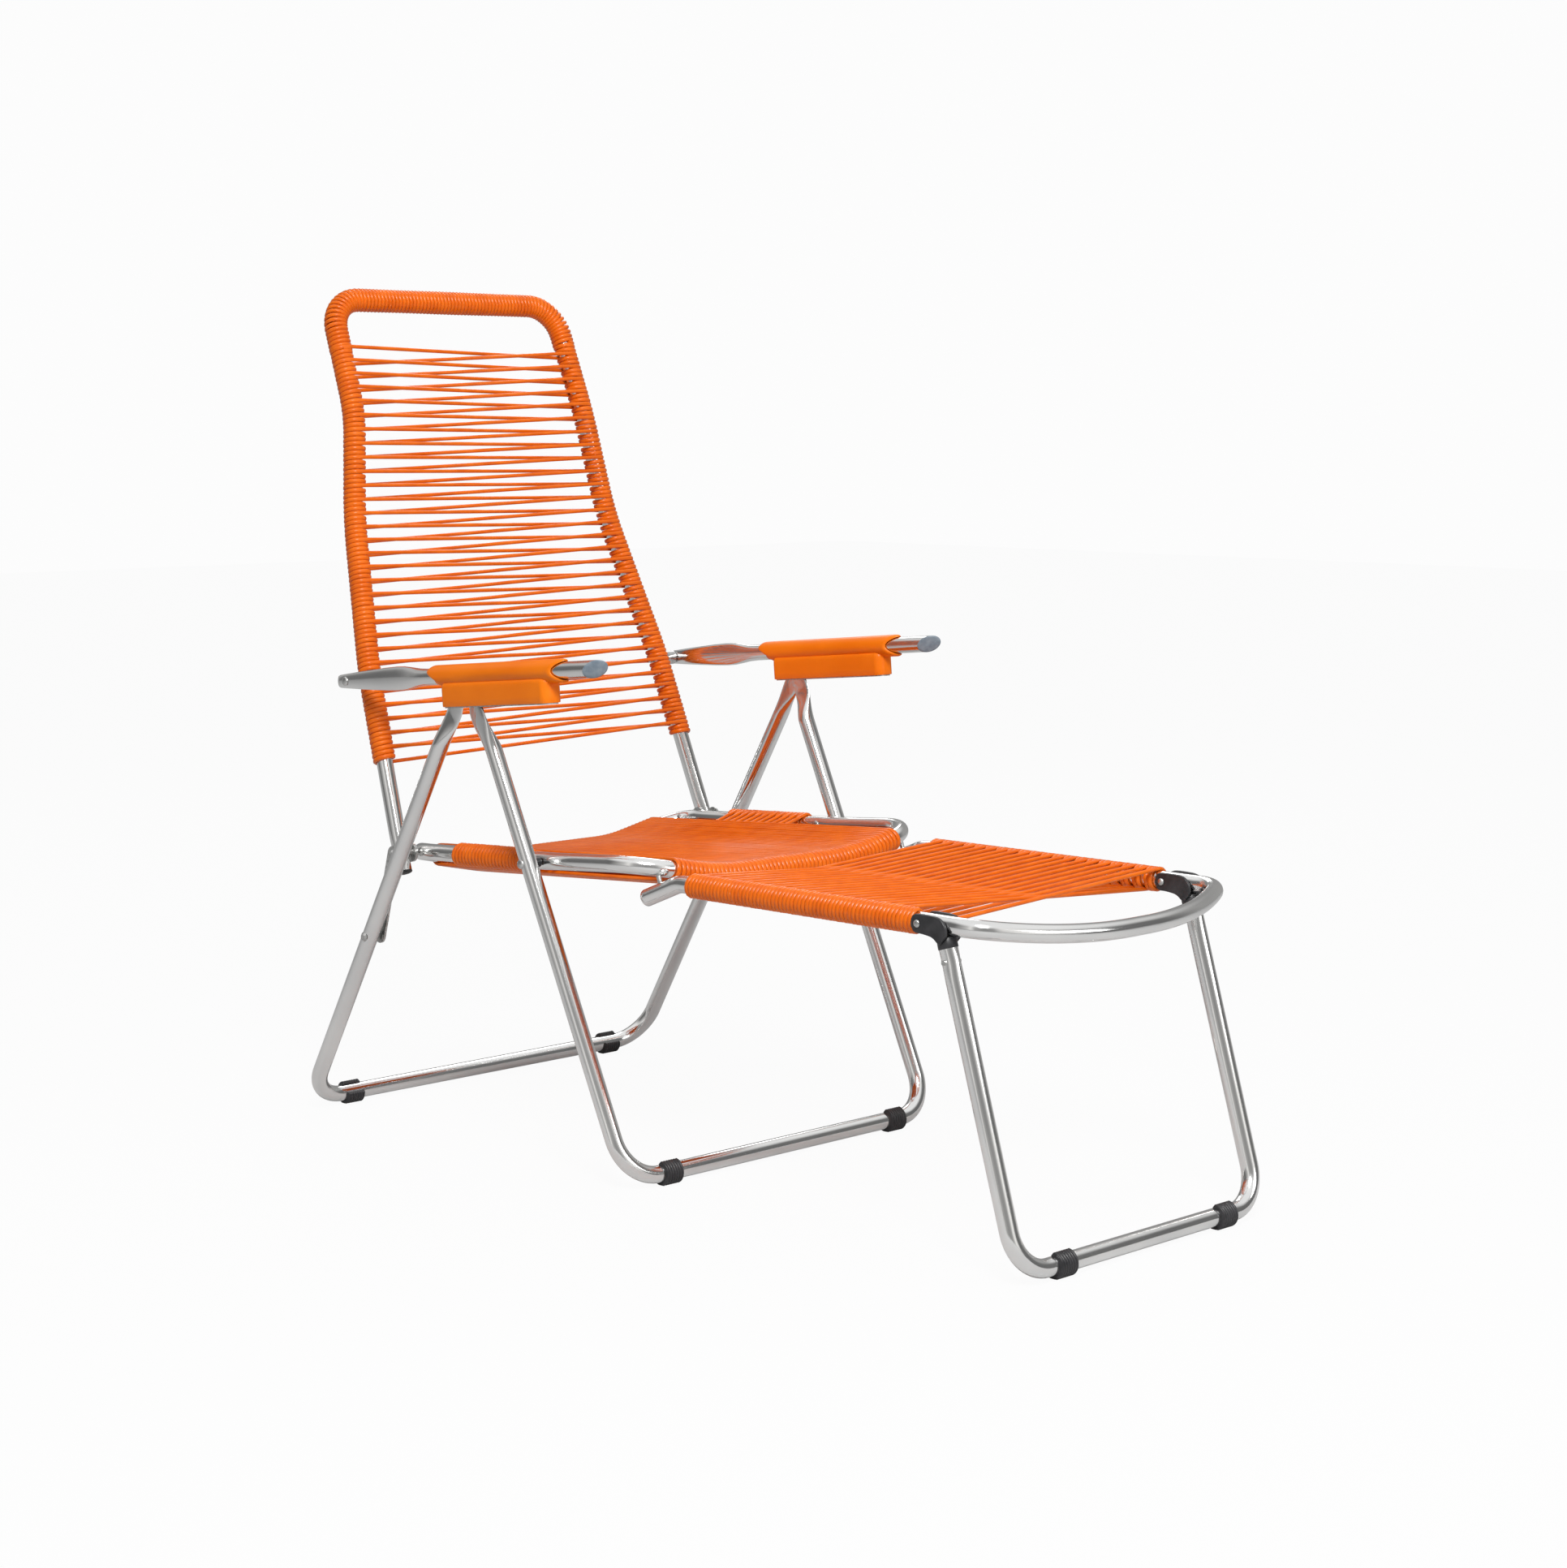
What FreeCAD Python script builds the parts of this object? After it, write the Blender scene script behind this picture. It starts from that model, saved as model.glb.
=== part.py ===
"""Folding sun lounger: bent aluminium tube strung with PVC cord, and a hook-on footrest on its own leg.

X runs across the chair (+X is the sitter's left), -Y is the front and +Z is up. Sizes are in mm.
Places along the depth are measured from the rivet that joins the seat to the front legs.
"""
import FreeCAD
import Part
import math
import os

Vector = FreeCAD.Vector
SIDES = (("left", 1), ("right", -1))

DIMENSIONS = (
    # tubes and cord
    ("tube_radius", 11.0),
    ("tube_bore", 9.5),
    ("cord_radius", 2.3),
    ("winding_radius", 15.6),
    ("winding_bore", 11.02),
    ("run_clearance", 0.05),
    ("rivet_radius", 4.0),
    ("rivet_head", 6.5),
    ("rivet_dome", 2.4),
    ("hinge_washer", 13.0),
    ("arm_bush", 10.0),
    # where the seat rivet lies behind the middle of the whole object
    ("depth_origin", 134.5),
    # pivots: depth and height
    ("seat_pivot_z", 392.9),
    ("back_pivot_y", 269.2),
    ("back_pivot_z", 376.6),
    ("arm_pivot_y", 360.0),
    ("arm_pivot_z", 601.9),
    ("leg_pivot_y", 97.6),
    ("leg_pivot_z", 606.0),
    ("link_pivot_y", 302.6),
    ("link_pivot_z", 264.0),
    # legs
    ("foot_axis_z", 15.0),
    ("front_foot_y", -183.0),
    ("rear_foot_y", 453.0),
    ("front_leg_x_top", 277.0),
    ("front_leg_x_foot", 268.5),
    ("rear_leg_x", 302.0),
    ("leg_bend", 54.0),
    ("tongue_length", 36.0),
    ("tongue_neck", 85.0),
    ("tongue_thick", 5.0),
    ("tongue_width", 26.0),
    ("tongue_eye", 5.9),
    ("front_tongue_x", 285.5),
    ("rear_tongue_x", 298.5),
    ("pin_radius", 3.5),
    # feet
    ("foot_radius", 16.0),
    ("foot_core", 14.6),
    ("foot_length", 28.0),
    ("foot_gap", 13.0),
    ("front_foot_x", 200.0),
    ("rear_foot_x", 234.0),
    ("rest_foot_x", 144.0),
    # seat
    ("seat_rail_x", 244.0),
    ("seat_rear_y", 293.0),
    ("seat_rear_drop", 29.0),
    ("seat_front_y", -184.0),
    ("seat_front_z", 408.5),
    ("seat_bow_y", -190.0),
    ("seat_bow_drop", 28.0),
    ("seat_corner", 57.0),
    ("seat_rear_corner", 42.0),
    ("seat_winding_x", 196.0),
    ("seat_cord_pitch", 7.0),
    ("seat_wrap_rear_y", 192.0),
    ("seat_wrap_turns", 22.0),
    ("seat_wrap_pitch", 7.4),
    ("cross_cord_pitch", 13.0),
    # backrest
    ("post_foot_x", 273.5),
    ("post_foot_y", 264.5),
    ("post_foot_z", 353.0),
    ("post_arm_x", 256.5),
    ("post_arm_y", 359.5),
    ("post_arm_z", 610.0),
    ("post_waist_x", 223.5),
    ("post_waist_y", 434.0),
    ("post_waist_z", 812.0),
    ("post_neck_x", 203.0),
    ("post_neck_y", 459.0),
    ("post_neck_z", 958.0),
    ("post_top_x", 197.0),
    ("post_top_y", 521.0),
    ("post_top_z", 1115.0),
    ("back_corner", 48.0),
    ("back_winding_z", 494.0),
    ("back_winding_gap", 24.0),
    ("back_top_winding_z", 1052.0),
    ("back_cord_first_z", 1044.0),
    ("back_cord_count", 29.0),
    ("back_cord_front", 13.3),
    ("back_cord_rear", 7.4),
    # links
    ("link_x", 286.6),
    ("link_thick", 3.0),
    ("link_width", 22.0),
    # armrests
    ("arm_x", 292.0),
    ("arm_front_y", -159.0),
    ("arm_front_z", 650.2),
    ("arm_cut_turn", 45.0),
    ("arm_cut_tilt", 24.0),
    ("arm_cap_thick", 2.5),
    ("arm_flat_start_y", 180.0),
    ("arm_flat_wide_y", 240.0),
    ("arm_flat_end_y", 379.0),
    ("sleeve_radius", 15.0),
    ("sleeve_bore", 11.1),
    ("sleeve_front_y", -105.0),
    ("sleeve_rear_y", 168.0),
    ("box_front_y", -77.5),
    ("box_rear_y", 135.6),
    ("box_wall", 2.5),
    ("box_roof", 13.0),
    ("box_depth", 39.0),
    ("rack_tooth", 2.0),
    # footrest
    ("rest_rail_x", 214.0),
    ("hook_bend_y", -224.5),
    ("hook_bend_z", 386.5),
    ("hook_end_y", -162.0),
    ("hook_end_z", 361.5),
    ("rest_pivot_y", -639.6),
    ("rest_pivot_z", 391.6),
    ("rest_front_y", -714.0),
    ("rest_front_z", 392.4),
    ("rest_bow_y", -768.0),
    ("rest_bow_drop", 15.0),
    ("rest_winding_rear_y", -247.0),
    ("rest_winding_front_y", -621.0),
    ("rest_cord_rear_y", -258.0),
    ("rest_cord_front_y", -614.0),
    ("rest_cord_count", 27.0),
    ("rest_leg_x_top", 215.0),
    ("rest_leg_x_foot", 214.5),
    ("rest_leg_top_y", -675.0),
    ("rest_leg_top_z", 366.2),
    ("rest_foot_y", -783.0),
    ("rest_leg_bend", 48.0),
    ("head_cheek", 3.6),
    ("head_gap", 11.6),
    ("head_radius", 11.0),
)

doc = FreeCAD.newDocument("sun_lounger")
sheet = doc.addObject("Spreadsheet::Sheet", "dims")
for row, (alias, number) in enumerate(DIMENSIONS, start=1):
    sheet.set(f"A{row}", alias)
    sheet.set(f"B{row}", str(number))
    sheet.setAlias(f"B{row}", alias)
doc.recompute()

nodes = []


def size(alias):
    """A driving dimension, read from the sheet."""
    return float(sheet.get(alias))


def place(x, y, z):
    """A point given by its depth behind the seat rivet."""
    return Vector(x, y + size("depth_origin"), z)


def new(kind, name):
    return doc.addObject(kind, name)


def bind(item, **sizes):
    """Tie an object's sizes to expressions of the sheet's cells."""
    for prop, expression in sizes.items():
        item.setExpression(prop, expression)
    return item


def node(item, label):
    """Name a finished piece and keep it for export."""
    item.Label = label
    nodes.append((label, item))
    return item


def facing(direction, start):
    """Placement at start whose local Z runs along direction."""
    return FreeCAD.Placement(start, FreeCAD.Rotation(Vector(0, 0, 1), direction))


def framed(start, x_axis, z_axis):
    """Placement at start with its local X and Z along two square directions."""
    y_axis = z_axis.cross(x_axis)
    return FreeCAD.Placement(start, FreeCAD.Rotation(x_axis, y_axis, z_axis, "ZXY"))


def rod(name, start, end, radius):
    """A round bar from start to end; radius is a sheet expression."""
    bar = bind(new("Part::Cylinder", name), Radius=radius)
    bar.Height = (end - start).Length
    bar.Placement = facing(end - start, start)
    return bar


def cone(name, start, end, radius, tip):
    """A tapered bar from start to end, such as a rivet's head."""
    head = bind(new("Part::Cone", name), Radius1=radius, Radius2=tip)
    head.Height = (end - start).Length
    head.Placement = facing(end - start, start)
    return head


def block(name, corner, lengths):
    """A box along the axes of the chair."""
    box = new("Part::Box", name)
    box.Length, box.Width, box.Height = lengths
    box.Placement.Base = corner
    return box


def fuse(name, *items):
    joined = new("Part::MultiFuse", name)
    joined.Shapes = list(items)
    return joined


def cut(name, base, *tools):
    """Base with every tool taken away from it."""
    for number, tool in enumerate(tools):
        part = new("Part::Cut", f"{name}_{number}")
        part.Base = base
        part.Tool = tool
        base = part
    return base


def group(name, *items):
    """Separate solids kept in one node."""
    held = new("Part::Compound", name)
    held.Links = list(items)
    return held


def corner_arc(before, corner, after, radius):
    """Start, middle and end of the arc that rounds a corner."""
    to_before = (before - corner).normalize()
    to_after = (after - corner).normalize()
    half = to_before.getAngle(to_after) / 2
    inward = (to_before + to_after).normalize()
    reach = radius / math.tan(half)
    middle = corner + inward * (radius / math.sin(half) - radius)
    return corner + to_before * reach, middle, corner + to_after * reach


def bent_wire(points, radii, closed=False):
    """Straight runs joined by tangent arcs; an open wire's end points have radius 0."""
    count = len(points)
    edges = []
    first = last = None
    for index, (point, radius) in enumerate(zip(points, radii)):
        if radius:
            start, middle, end = corner_arc(points[index - 1], point, points[(index + 1) % count], radius)
            arc = Part.Arc(start, middle, end).toShape()
        else:
            start = end = point
            arc = None
        if last is not None:
            edges.append(Part.LineSegment(last, start).toShape())
        if arc:
            edges.append(arc)
        first = start if first is None else first
        last = end
    if closed:
        edges.append(Part.LineSegment(last, first).toShape())
    return Part.Wire(edges)


def along(wire, length):
    """Point and direction at a length along a wire."""
    for edge in wire.OrderedEdges:
        if length <= edge.Length:
            at = edge.getParameterByLength(length)
            return edge.valueAt(at), edge.tangentAt(at)
        length -= edge.Length
    return edge.valueAt(edge.LastParameter), edge.tangentAt(edge.LastParameter)


def length_where(wire, test, low, high):
    """Length along a wire where a rising test turns true, by halving."""
    for _ in range(40):
        middle = (low + high) / 2
        if test(along(wire, middle)[0]):
            high = middle
        else:
            low = middle
    return low


def stretch(wire, low, high):
    """The part of a wire between two lengths."""
    edges = []
    done = 0.0
    for edge in wire.OrderedEdges:
        start = max(low - done, 0.0)
        end = min(high - done, edge.Length)
        if end - start > 1e-6:
            first = edge.getParameterByLength(start)
            last = edge.getParameterByLength(end)
            edges.append(edge.Curve.toShape(first, last))
        done += edge.Length
    return Part.Wire(edges)


def swept(name, wire, radius):
    """A round bar swept along a wire; radius is a sheet expression."""
    path = new("Part::Feature", f"{name}_path")
    path.Shape = wire
    edge = wire.OrderedEdges[0]
    section = bind(new("Part::Circle", f"{name}_section"), Radius=radius)
    section.Placement = facing(edge.tangentAt(edge.FirstParameter), edge.valueAt(edge.FirstParameter))
    bar = new("Part::Sweep", f"{name}_sweep")
    bar.Sections = [section]
    bar.Spine = (path, [f"Edge{number}" for number in range(1, len(wire.Edges) + 1)])
    bar.Solid = True
    bar.Frenet = False
    return bar


def tube(name, wire, *cutters):
    """A hollow frame tube along a wire, with cutters taken out of it."""
    outside = swept(f"{name}_outside", wire, "dims.tube_radius")
    inside = swept(f"{name}_inside", wire, "dims.tube_bore")
    return cut(name, outside, inside, *cutters)


def sleeve(name, wire):
    """Cord wound tightly on a tube, as a plain sleeve."""
    outside = swept(f"{name}_outside", wire, "dims.winding_radius")
    inside = swept(f"{name}_inside", wire, "dims.winding_bore")
    return cut(name, outside, inside)


def cords(label, runs):
    """Tight cord runs, one solid each."""
    shapes = []
    for start, end in runs:
        run = end - start
        shapes.append(Part.makeCylinder(size("cord_radius"), run.Length, start, run))
    strung = new("Part::Feature", label)
    strung.Shape = Part.makeCompound(shapes)
    return node(strung, label)


def bent_cords(label, wires):
    """Tight cord runs that bend gently over what they cross, one solid each."""
    shapes = []
    for wire in wires:
        edge = wire.OrderedEdges[0]
        start, way = edge.valueAt(edge.FirstParameter), edge.tangentAt(edge.FirstParameter)
        section = Part.Wire(Part.makeCircle(size("cord_radius"), start, way))
        shapes.append(wire.makePipeShell([section], True, False))
    strung = new("Part::Feature", label)
    strung.Shape = Part.makeCompound(shapes)
    return node(strung, label)


def across(x, y, z):
    """Ends of a bar along X through a place, from x[0] to x[1]."""
    return place(x[0], y, z), place(x[1], y, z)


def hole(name, x, y, z, radius="dims.rivet_radius + dims.run_clearance"):
    start, end = across(x, y, z)
    return rod(name, start, end, radius)


def rivet(name, inner, outer, y, z, side):
    """A rivet along X between two faces, with a low dome at each end."""
    shank = rod(f"{name}_shank", *across((side * inner, side * outer), y, z), "dims.rivet_radius")
    dome = size("rivet_dome")
    heads = []
    for end, reach in ((inner, -dome), (outer, dome)):
        start, tip = across((side * end, side * (end + reach)), y, z)
        heads.append(cone(f"{name}_head", start, tip, "dims.rivet_head", "dims.rivet_head * 0.6"))
    return fuse(name, shank, *heads)


def mirrored(points):
    """A left half's points followed by the right half's, in order round the frame."""
    return points + [Vector(-point.x, point.y, point.z) for point in reversed(points)]


# Legs: a U of tube whose two upper ends are flattened into tongues on the ratchet pin

LEG_PIVOT = (size("leg_pivot_y"), size("leg_pivot_z"))
HOLE_REACH = 2 * size("tube_radius")


def leg_frame(label, foot_y, top_x, foot_x, tongue_x, cutters):
    """A pair of legs joined by a foot bar."""
    top = place(top_x, *LEG_PIVOT)
    foot = place(foot_x, foot_y, size("foot_axis_z"))
    down = (foot - top).normalize()
    neck = top + down * size("tongue_neck")
    bend = size("leg_bend")
    wire = bent_wire(mirrored([neck, foot]), [0, bend, bend, 0])
    bar = swept(f"{label}_outside", wire, "dims.tube_radius")
    ends = []
    holes = []
    for name, side in SIDES:
        pin = place(side * tongue_x, *LEG_PIVOT)
        flat_down = Vector(0, down.y, down.z).normalize()
        wide = flat_down.cross(Vector(1, 0, 0))
        start = Vector(side * neck.x, neck.y, neck.z)
        round_end = bind(new("Part::Circle", f"{label}_{name}_round"), Radius="dims.tube_radius")
        round_end.Placement = facing(Vector(side * down.x, down.y, down.z), start)
        flat_end = bind(
            new("Part::Ellipse", f"{label}_{name}_flat"),
            MajorRadius="dims.tongue_width / 2",
            MinorRadius="dims.tongue_thick / 2",
        )
        flat_end.Placement = framed(pin + flat_down * size("tongue_length"), wide, flat_down)
        shoulder = new("Part::Loft", f"{label}_{name}_shoulder")
        shoulder.Sections = [round_end, flat_end]
        shoulder.Solid = True
        tongue = bind(
            new("Part::Wedge", f"{label}_{name}_tongue"),
            Xmin="-dims.tongue_eye",
            Xmax="dims.tongue_eye",
            X2min="-dims.tongue_width / 2",
            X2max="dims.tongue_width / 2",
            Ymin="0",
            Ymax="dims.tongue_length",
            Zmin="-dims.tongue_thick / 2",
            Zmax="dims.tongue_thick / 2",
            Z2min="-dims.tongue_thick / 2",
            Z2max="dims.tongue_thick / 2",
        )
        tongue.Placement = framed(pin, wide, wide.cross(flat_down))
        half_thick = Vector(size("tongue_thick") / 2, 0, 0)
        eye = rod(f"{label}_{name}_eye", pin - half_thick, pin + half_thick, "dims.tongue_eye")
        ends += [shoulder, tongue, eye]
        reach = Vector(HOLE_REACH, 0, 0)
        holes.append(
            rod(f"{label}_{name}_pin_hole", pin - reach, pin + reach, "dims.pin_radius + dims.run_clearance")
        )
    solid = fuse(f"{label}_solid", bar, *ends)
    bore = swept(f"{label}_bore", wire, "dims.tube_bore")
    return node(cut(label, solid, bore, *holes, *cutters), label)


def foot_clip(label, x, y):
    """A ribbed plastic clip on a foot bar, open on top and flat below."""
    half = size("foot_length") / 2
    height = size("foot_axis_z")
    rib_count = 6
    step = 2 * half / (2 * rib_count - 1)
    core = rod(f"{label}_core", *across((x - half, x + half), y, height), "dims.foot_core")
    ribs = []
    for number in range(rib_count):
        start = x - half + 2 * number * step
        ribs.append(rod(f"{label}_rib", *across((start, start + step), y, height), "dims.foot_radius"))
    solid = fuse(f"{label}_solid", core, *ribs)
    reach = size("foot_radius") + 1
    bore = rod(f"{label}_bore", *across((x - reach, x + reach), y, height), "dims.tube_radius + 0.02")
    gap = block(
        f"{label}_gap",
        place(x - reach, y - size("foot_gap") / 2, height),
        (2 * reach, size("foot_gap"), reach),
    )
    below = block(f"{label}_below", place(x - reach, y - reach, -reach), (2 * reach, 2 * reach, reach))
    return node(cut(label, solid, bore, gap, below), label)


def front_leg_x(z):
    """Half width of the front legs at a height."""
    share = (size("leg_pivot_z") - z) / (size("leg_pivot_z") - size("foot_axis_z"))
    return size("front_leg_x_top") + share * (size("front_leg_x_foot") - size("front_leg_x_top"))


RAIL_OUTER = size("seat_rail_x") + size("tube_radius")
RAIL_INNER = size("seat_rail_x") - size("tube_radius")
LEG_AT_SEAT = front_leg_x(size("seat_pivot_z"))
LINK_INNER = size("link_x") - size("link_thick") / 2
LINK_OUTER = size("link_x") + size("link_thick") / 2
LINK_ROOM = 0.6
FACE_ROOM = 0.5


def make_front_legs():
    holes = []
    for name, side in SIDES:
        reach = (side * (LEG_AT_SEAT - HOLE_REACH), side * (LEG_AT_SEAT + HOLE_REACH))
        holes.append(hole(f"front_leg_{name}_hole", reach, 0, size("seat_pivot_z"), "dims.rivet_radius"))
    leg_frame(
        "front_leg_frame",
        size("front_foot_y"),
        size("front_leg_x_top"),
        size("front_leg_x_foot"),
        size("front_tongue_x"),
        holes,
    )
    for name, side in SIDES:
        foot_clip(f"front_foot_{name}", side * size("front_foot_x"), size("front_foot_y"))
    rivets = []
    pins = []
    for name, side in SIDES:
        outer = LEG_AT_SEAT + size("tube_radius")
        rivets.append(rivet(f"seat_rivet_{name}", RAIL_INNER - 0.3, outer, 0, size("seat_pivot_z"), side))
        thick = size("tongue_thick") / 2
        inner_end = size("front_tongue_x") - thick - 1.5
        outer_end = size("rear_tongue_x") + thick + 1.5
        ends = across((side * inner_end, side * outer_end), *LEG_PIVOT)
        pins.append(rod(f"ratchet_pin_{name}", *ends, "dims.pin_radius"))
    node(group("seat_rivets", *rivets), "seat_rivets")
    node(group("ratchet_pins", *pins), "ratchet_pins")
    bushes = []
    for name, side in SIDES:
        inner = RAIL_OUTER + 0.3
        outer = LEG_AT_SEAT - size("tube_radius")
        ring = rod(
            f"seat_bush_{name}_ring", *across((side * inner, side * outer), 0, size("seat_pivot_z")),
            "dims.rivet_head",
        )
        bore = hole(f"seat_bush_{name}_bore", (side * 200, side * 300), 0, size("seat_pivot_z"))
        bushes.append(cut(f"seat_bush_{name}", ring, bore))
    node(group("seat_bushes", *bushes), "seat_bushes")


def make_rear_legs():
    holes = []
    for name, side in SIDES:
        reach = (side * (size("rear_leg_x") - HOLE_REACH), side * (size("rear_leg_x") + HOLE_REACH))
        holes.append(
            hole(f"rear_leg_{name}_hole", reach, size("link_pivot_y"), size("link_pivot_z"), "dims.rivet_radius")
        )
    leg_frame(
        "rear_leg_frame",
        size("rear_foot_y"),
        size("rear_leg_x"),
        size("rear_leg_x"),
        size("rear_tongue_x"),
        holes,
    )
    for name, side in SIDES:
        foot_clip(f"rear_foot_{name}", side * size("rear_foot_x"), size("rear_foot_y"))
    rivets = []
    for name, side in SIDES:
        inner = size("rear_leg_x") - size("tube_radius")
        outer = size("rear_leg_x") + size("tube_radius")
        at = (size("link_pivot_y"), size("link_pivot_z"))
        shank = rod(f"link_rivet_{name}_shank", *across((side * inner, side * outer), *at), "dims.rivet_radius")
        start, tip = across((side * outer, side * (outer + size("rivet_dome"))), *at)
        head = cone(f"link_rivet_{name}_head", start, tip, "dims.rivet_head", "dims.rivet_head * 0.6")
        rivets.append(fuse(f"link_rivet_{name}", shank, head))
    node(group("rear_leg_rivets", *rivets), "rear_leg_rivets")


# Seat: one closed loop of tube, bowed and dropped at the front and dropped at the back

SEAT_REAR_RISE = (size("back_pivot_z") - size("seat_pivot_z")) / size("back_pivot_y")
SEAT_FRONT_RISE = (size("seat_front_z") - size("seat_pivot_z")) / size("seat_front_y")
SEAT_REAR_Z = size("seat_pivot_z") + SEAT_REAR_RISE * size("seat_rear_y")
CROSS_BEND = 600
SLOPE_RISE = 1.05


def rail_height(y):
    """Height of the seat rails' axis at a depth."""
    return size("seat_pivot_z") + y * (SEAT_REAR_RISE if y > 0 else SEAT_FRONT_RISE)


def rail_face(y, face):
    """Distance from the middle plane of a seat rail's inner (-1) or outer (1) face, also in its rear corner."""
    bend = size("seat_rear_corner")
    past = max(y - (size("seat_rear_y") - bend), 0.0)
    reach = bend + face * size("tube_radius")
    return size("seat_rail_x") - bend + math.sqrt(reach * reach - past * past)


def seat_wire():
    """The loop's centre line, starting on the left rail and going to the front."""
    rail = size("seat_rail_x")
    bow_x = 0.49 * rail
    bow_z = size("seat_front_z") - size("seat_bow_drop")
    drop_x = 0.45 * rail
    drop_z = SEAT_REAR_Z - size("seat_rear_drop")
    front = [
        place(rail, 0, size("seat_pivot_z")),
        place(rail, size("seat_front_y"), size("seat_front_z")),
        place(bow_x, size("seat_bow_y"), bow_z),
    ]
    rear = [
        place(-rail, size("seat_rear_y"), SEAT_REAR_Z),
        place(-drop_x, size("seat_rear_y"), drop_z),
    ]
    corner, rear_corner = size("seat_corner"), size("seat_rear_corner")
    rail_bend, bow, drop = 2500, 420, 260
    points = mirrored(front) + rear + [Vector(-point.x, point.y, point.z) for point in reversed(rear)]
    radii = [rail_bend, corner, bow, bow, corner, rail_bend, rear_corner, drop, drop, rear_corner]
    return bent_wire(points, radii, closed=True)


def point_at_x(points, x):
    """Place on a sampled bar at a distance from the middle plane."""
    for low, high in zip(points, points[1:]):
        if low.x <= x <= high.x and high.x > low.x:
            return low + (high - low) * ((x - low.x) / (high.x - low.x))
    return None


def sample(wire, low, high, count=160):
    """Points on a wire between two lengths, in order of X."""
    points = [along(wire, low + (high - low) * step / count)[0] for step in range(count + 1)]
    return sorted(points, key=lambda point: point.x)


def make_seat():
    wire = seat_wire()
    length = wire.Length
    cutters = []
    for name, side in SIDES:
        rail = side * size("seat_rail_x")
        reach = (rail - HOLE_REACH, rail + HOLE_REACH)
        cutters.append(hole(f"seat_{name}_front_hole", reach, 0, size("seat_pivot_z")))
        cutters.append(hole(f"seat_{name}_rear_hole", reach, size("back_pivot_y"), size("back_pivot_z")))
        cutters.append(stud_bar(f"seat_{name}_stud_hole", side, -STUD_ROOT, STUD_ROOT + 4, "dims.rivet_radius - 1"))
    node(tube("seat_frame", wire, *cutters), "seat_frame")

    reach = size("seat_winding_x")
    half = length / 2
    front_start = length_where(wire, lambda point: point.x < reach, 0, half)
    front_end = length_where(wire, lambda point: point.x < -reach, 0, half)
    rear_start = length_where(wire, lambda point: point.x > -reach, half, length)
    rear_end = length_where(wire, lambda point: point.x > reach, half, length)
    node(sleeve("seat_front_winding", stretch(wire, front_start, front_end)), "seat_front_winding")
    node(sleeve("seat_rear_winding", stretch(wire, rear_start, rear_end)), "seat_rear_winding")

    front_bar = sample(wire, front_start, front_end)
    rear_bar = sample(wire, rear_start, rear_end)
    lift = Vector(0, 0, SLOPE_RISE * (size("tube_radius") + size("cord_radius")))
    sink = lift + Vector(0, 0, size("cord_radius") / 4)
    runs = {"seat_cords_top": [], "seat_cords_bottom": []}
    span = reach - size("cord_radius")
    count = int(2 * span / size("seat_cord_pitch"))
    for number in range(count + 1):
        x = -span + 2 * span * number / count
        front = point_at_x(front_bar, x)
        rear = point_at_x(rear_bar, x)
        runs["seat_cords_top"].append((front + lift, rear + lift))
        runs["seat_cords_bottom"].append((front - sink, rear - sink))
    for label, ends in runs.items():
        cords(label, ends)

    cross = []
    first = size("seat_wrap_rear_y") - 2 * size("cord_radius")
    covered = size("seat_wrap_turns") * size("seat_wrap_pitch")
    low_front, low_rear = front_bar[len(front_bar) // 2].z, rear_bar[len(rear_bar) // 2].z
    for number in range(int(covered / size("cross_cord_pitch"))):
        y = first - number * size("cross_cord_pitch")
        share = (y - size("seat_bow_y")) / (size("seat_rear_y") - size("seat_bow_y"))
        middle = low_front + share * (low_rear - low_front) + lift.z - 2.3 * size("cord_radius")
        end = place(size("seat_rail_x"), y, rail_height(y) - lift.z)
        inner = place(0.6 * size("seat_rail_x"), y, middle)
        cross.append(bent_wire(mirrored([end, inner]), [0, CROSS_BEND, CROSS_BEND, 0]))
    bent_cords("seat_cross_cords", cross)
    for name, side in SIDES:
        make_rail_wrap(f"seat_wrap_{name}", side)


def biarc(start, start_way, end, end_way):
    """Two tangent arcs between two points with given directions."""
    run = end - start
    both = start_way + end_way
    square = 2 * (start_way.dot(end_way) - 1)
    linear = -2 * run.dot(both)
    constant = run.dot(run)
    reach = (-linear - math.sqrt(linear * linear - 4 * square * constant)) / (2 * square)
    reach = abs(reach)
    middle = (start + end) * 0.5 + (start_way - end_way) * (reach / 2)
    return [arc_from(start, start_way, middle), arc_from(end, end_way * -1, middle, turned=True)]


def arc_from(start, way, end, turned=False):
    """The arc that leaves start in a direction and reaches end."""
    chord = end - start
    straight = Vector(chord).normalize()
    sideways = way - straight * way.dot(straight)
    angle = way.getAngle(straight)
    bulge = sideways.normalize() * (chord.Length / 2 * math.tan(angle / 2))
    middle = start + chord * 0.5 + bulge
    return Part.Arc(end, middle, start).toShape() if turned else Part.Arc(start, middle, end).toShape()


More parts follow.
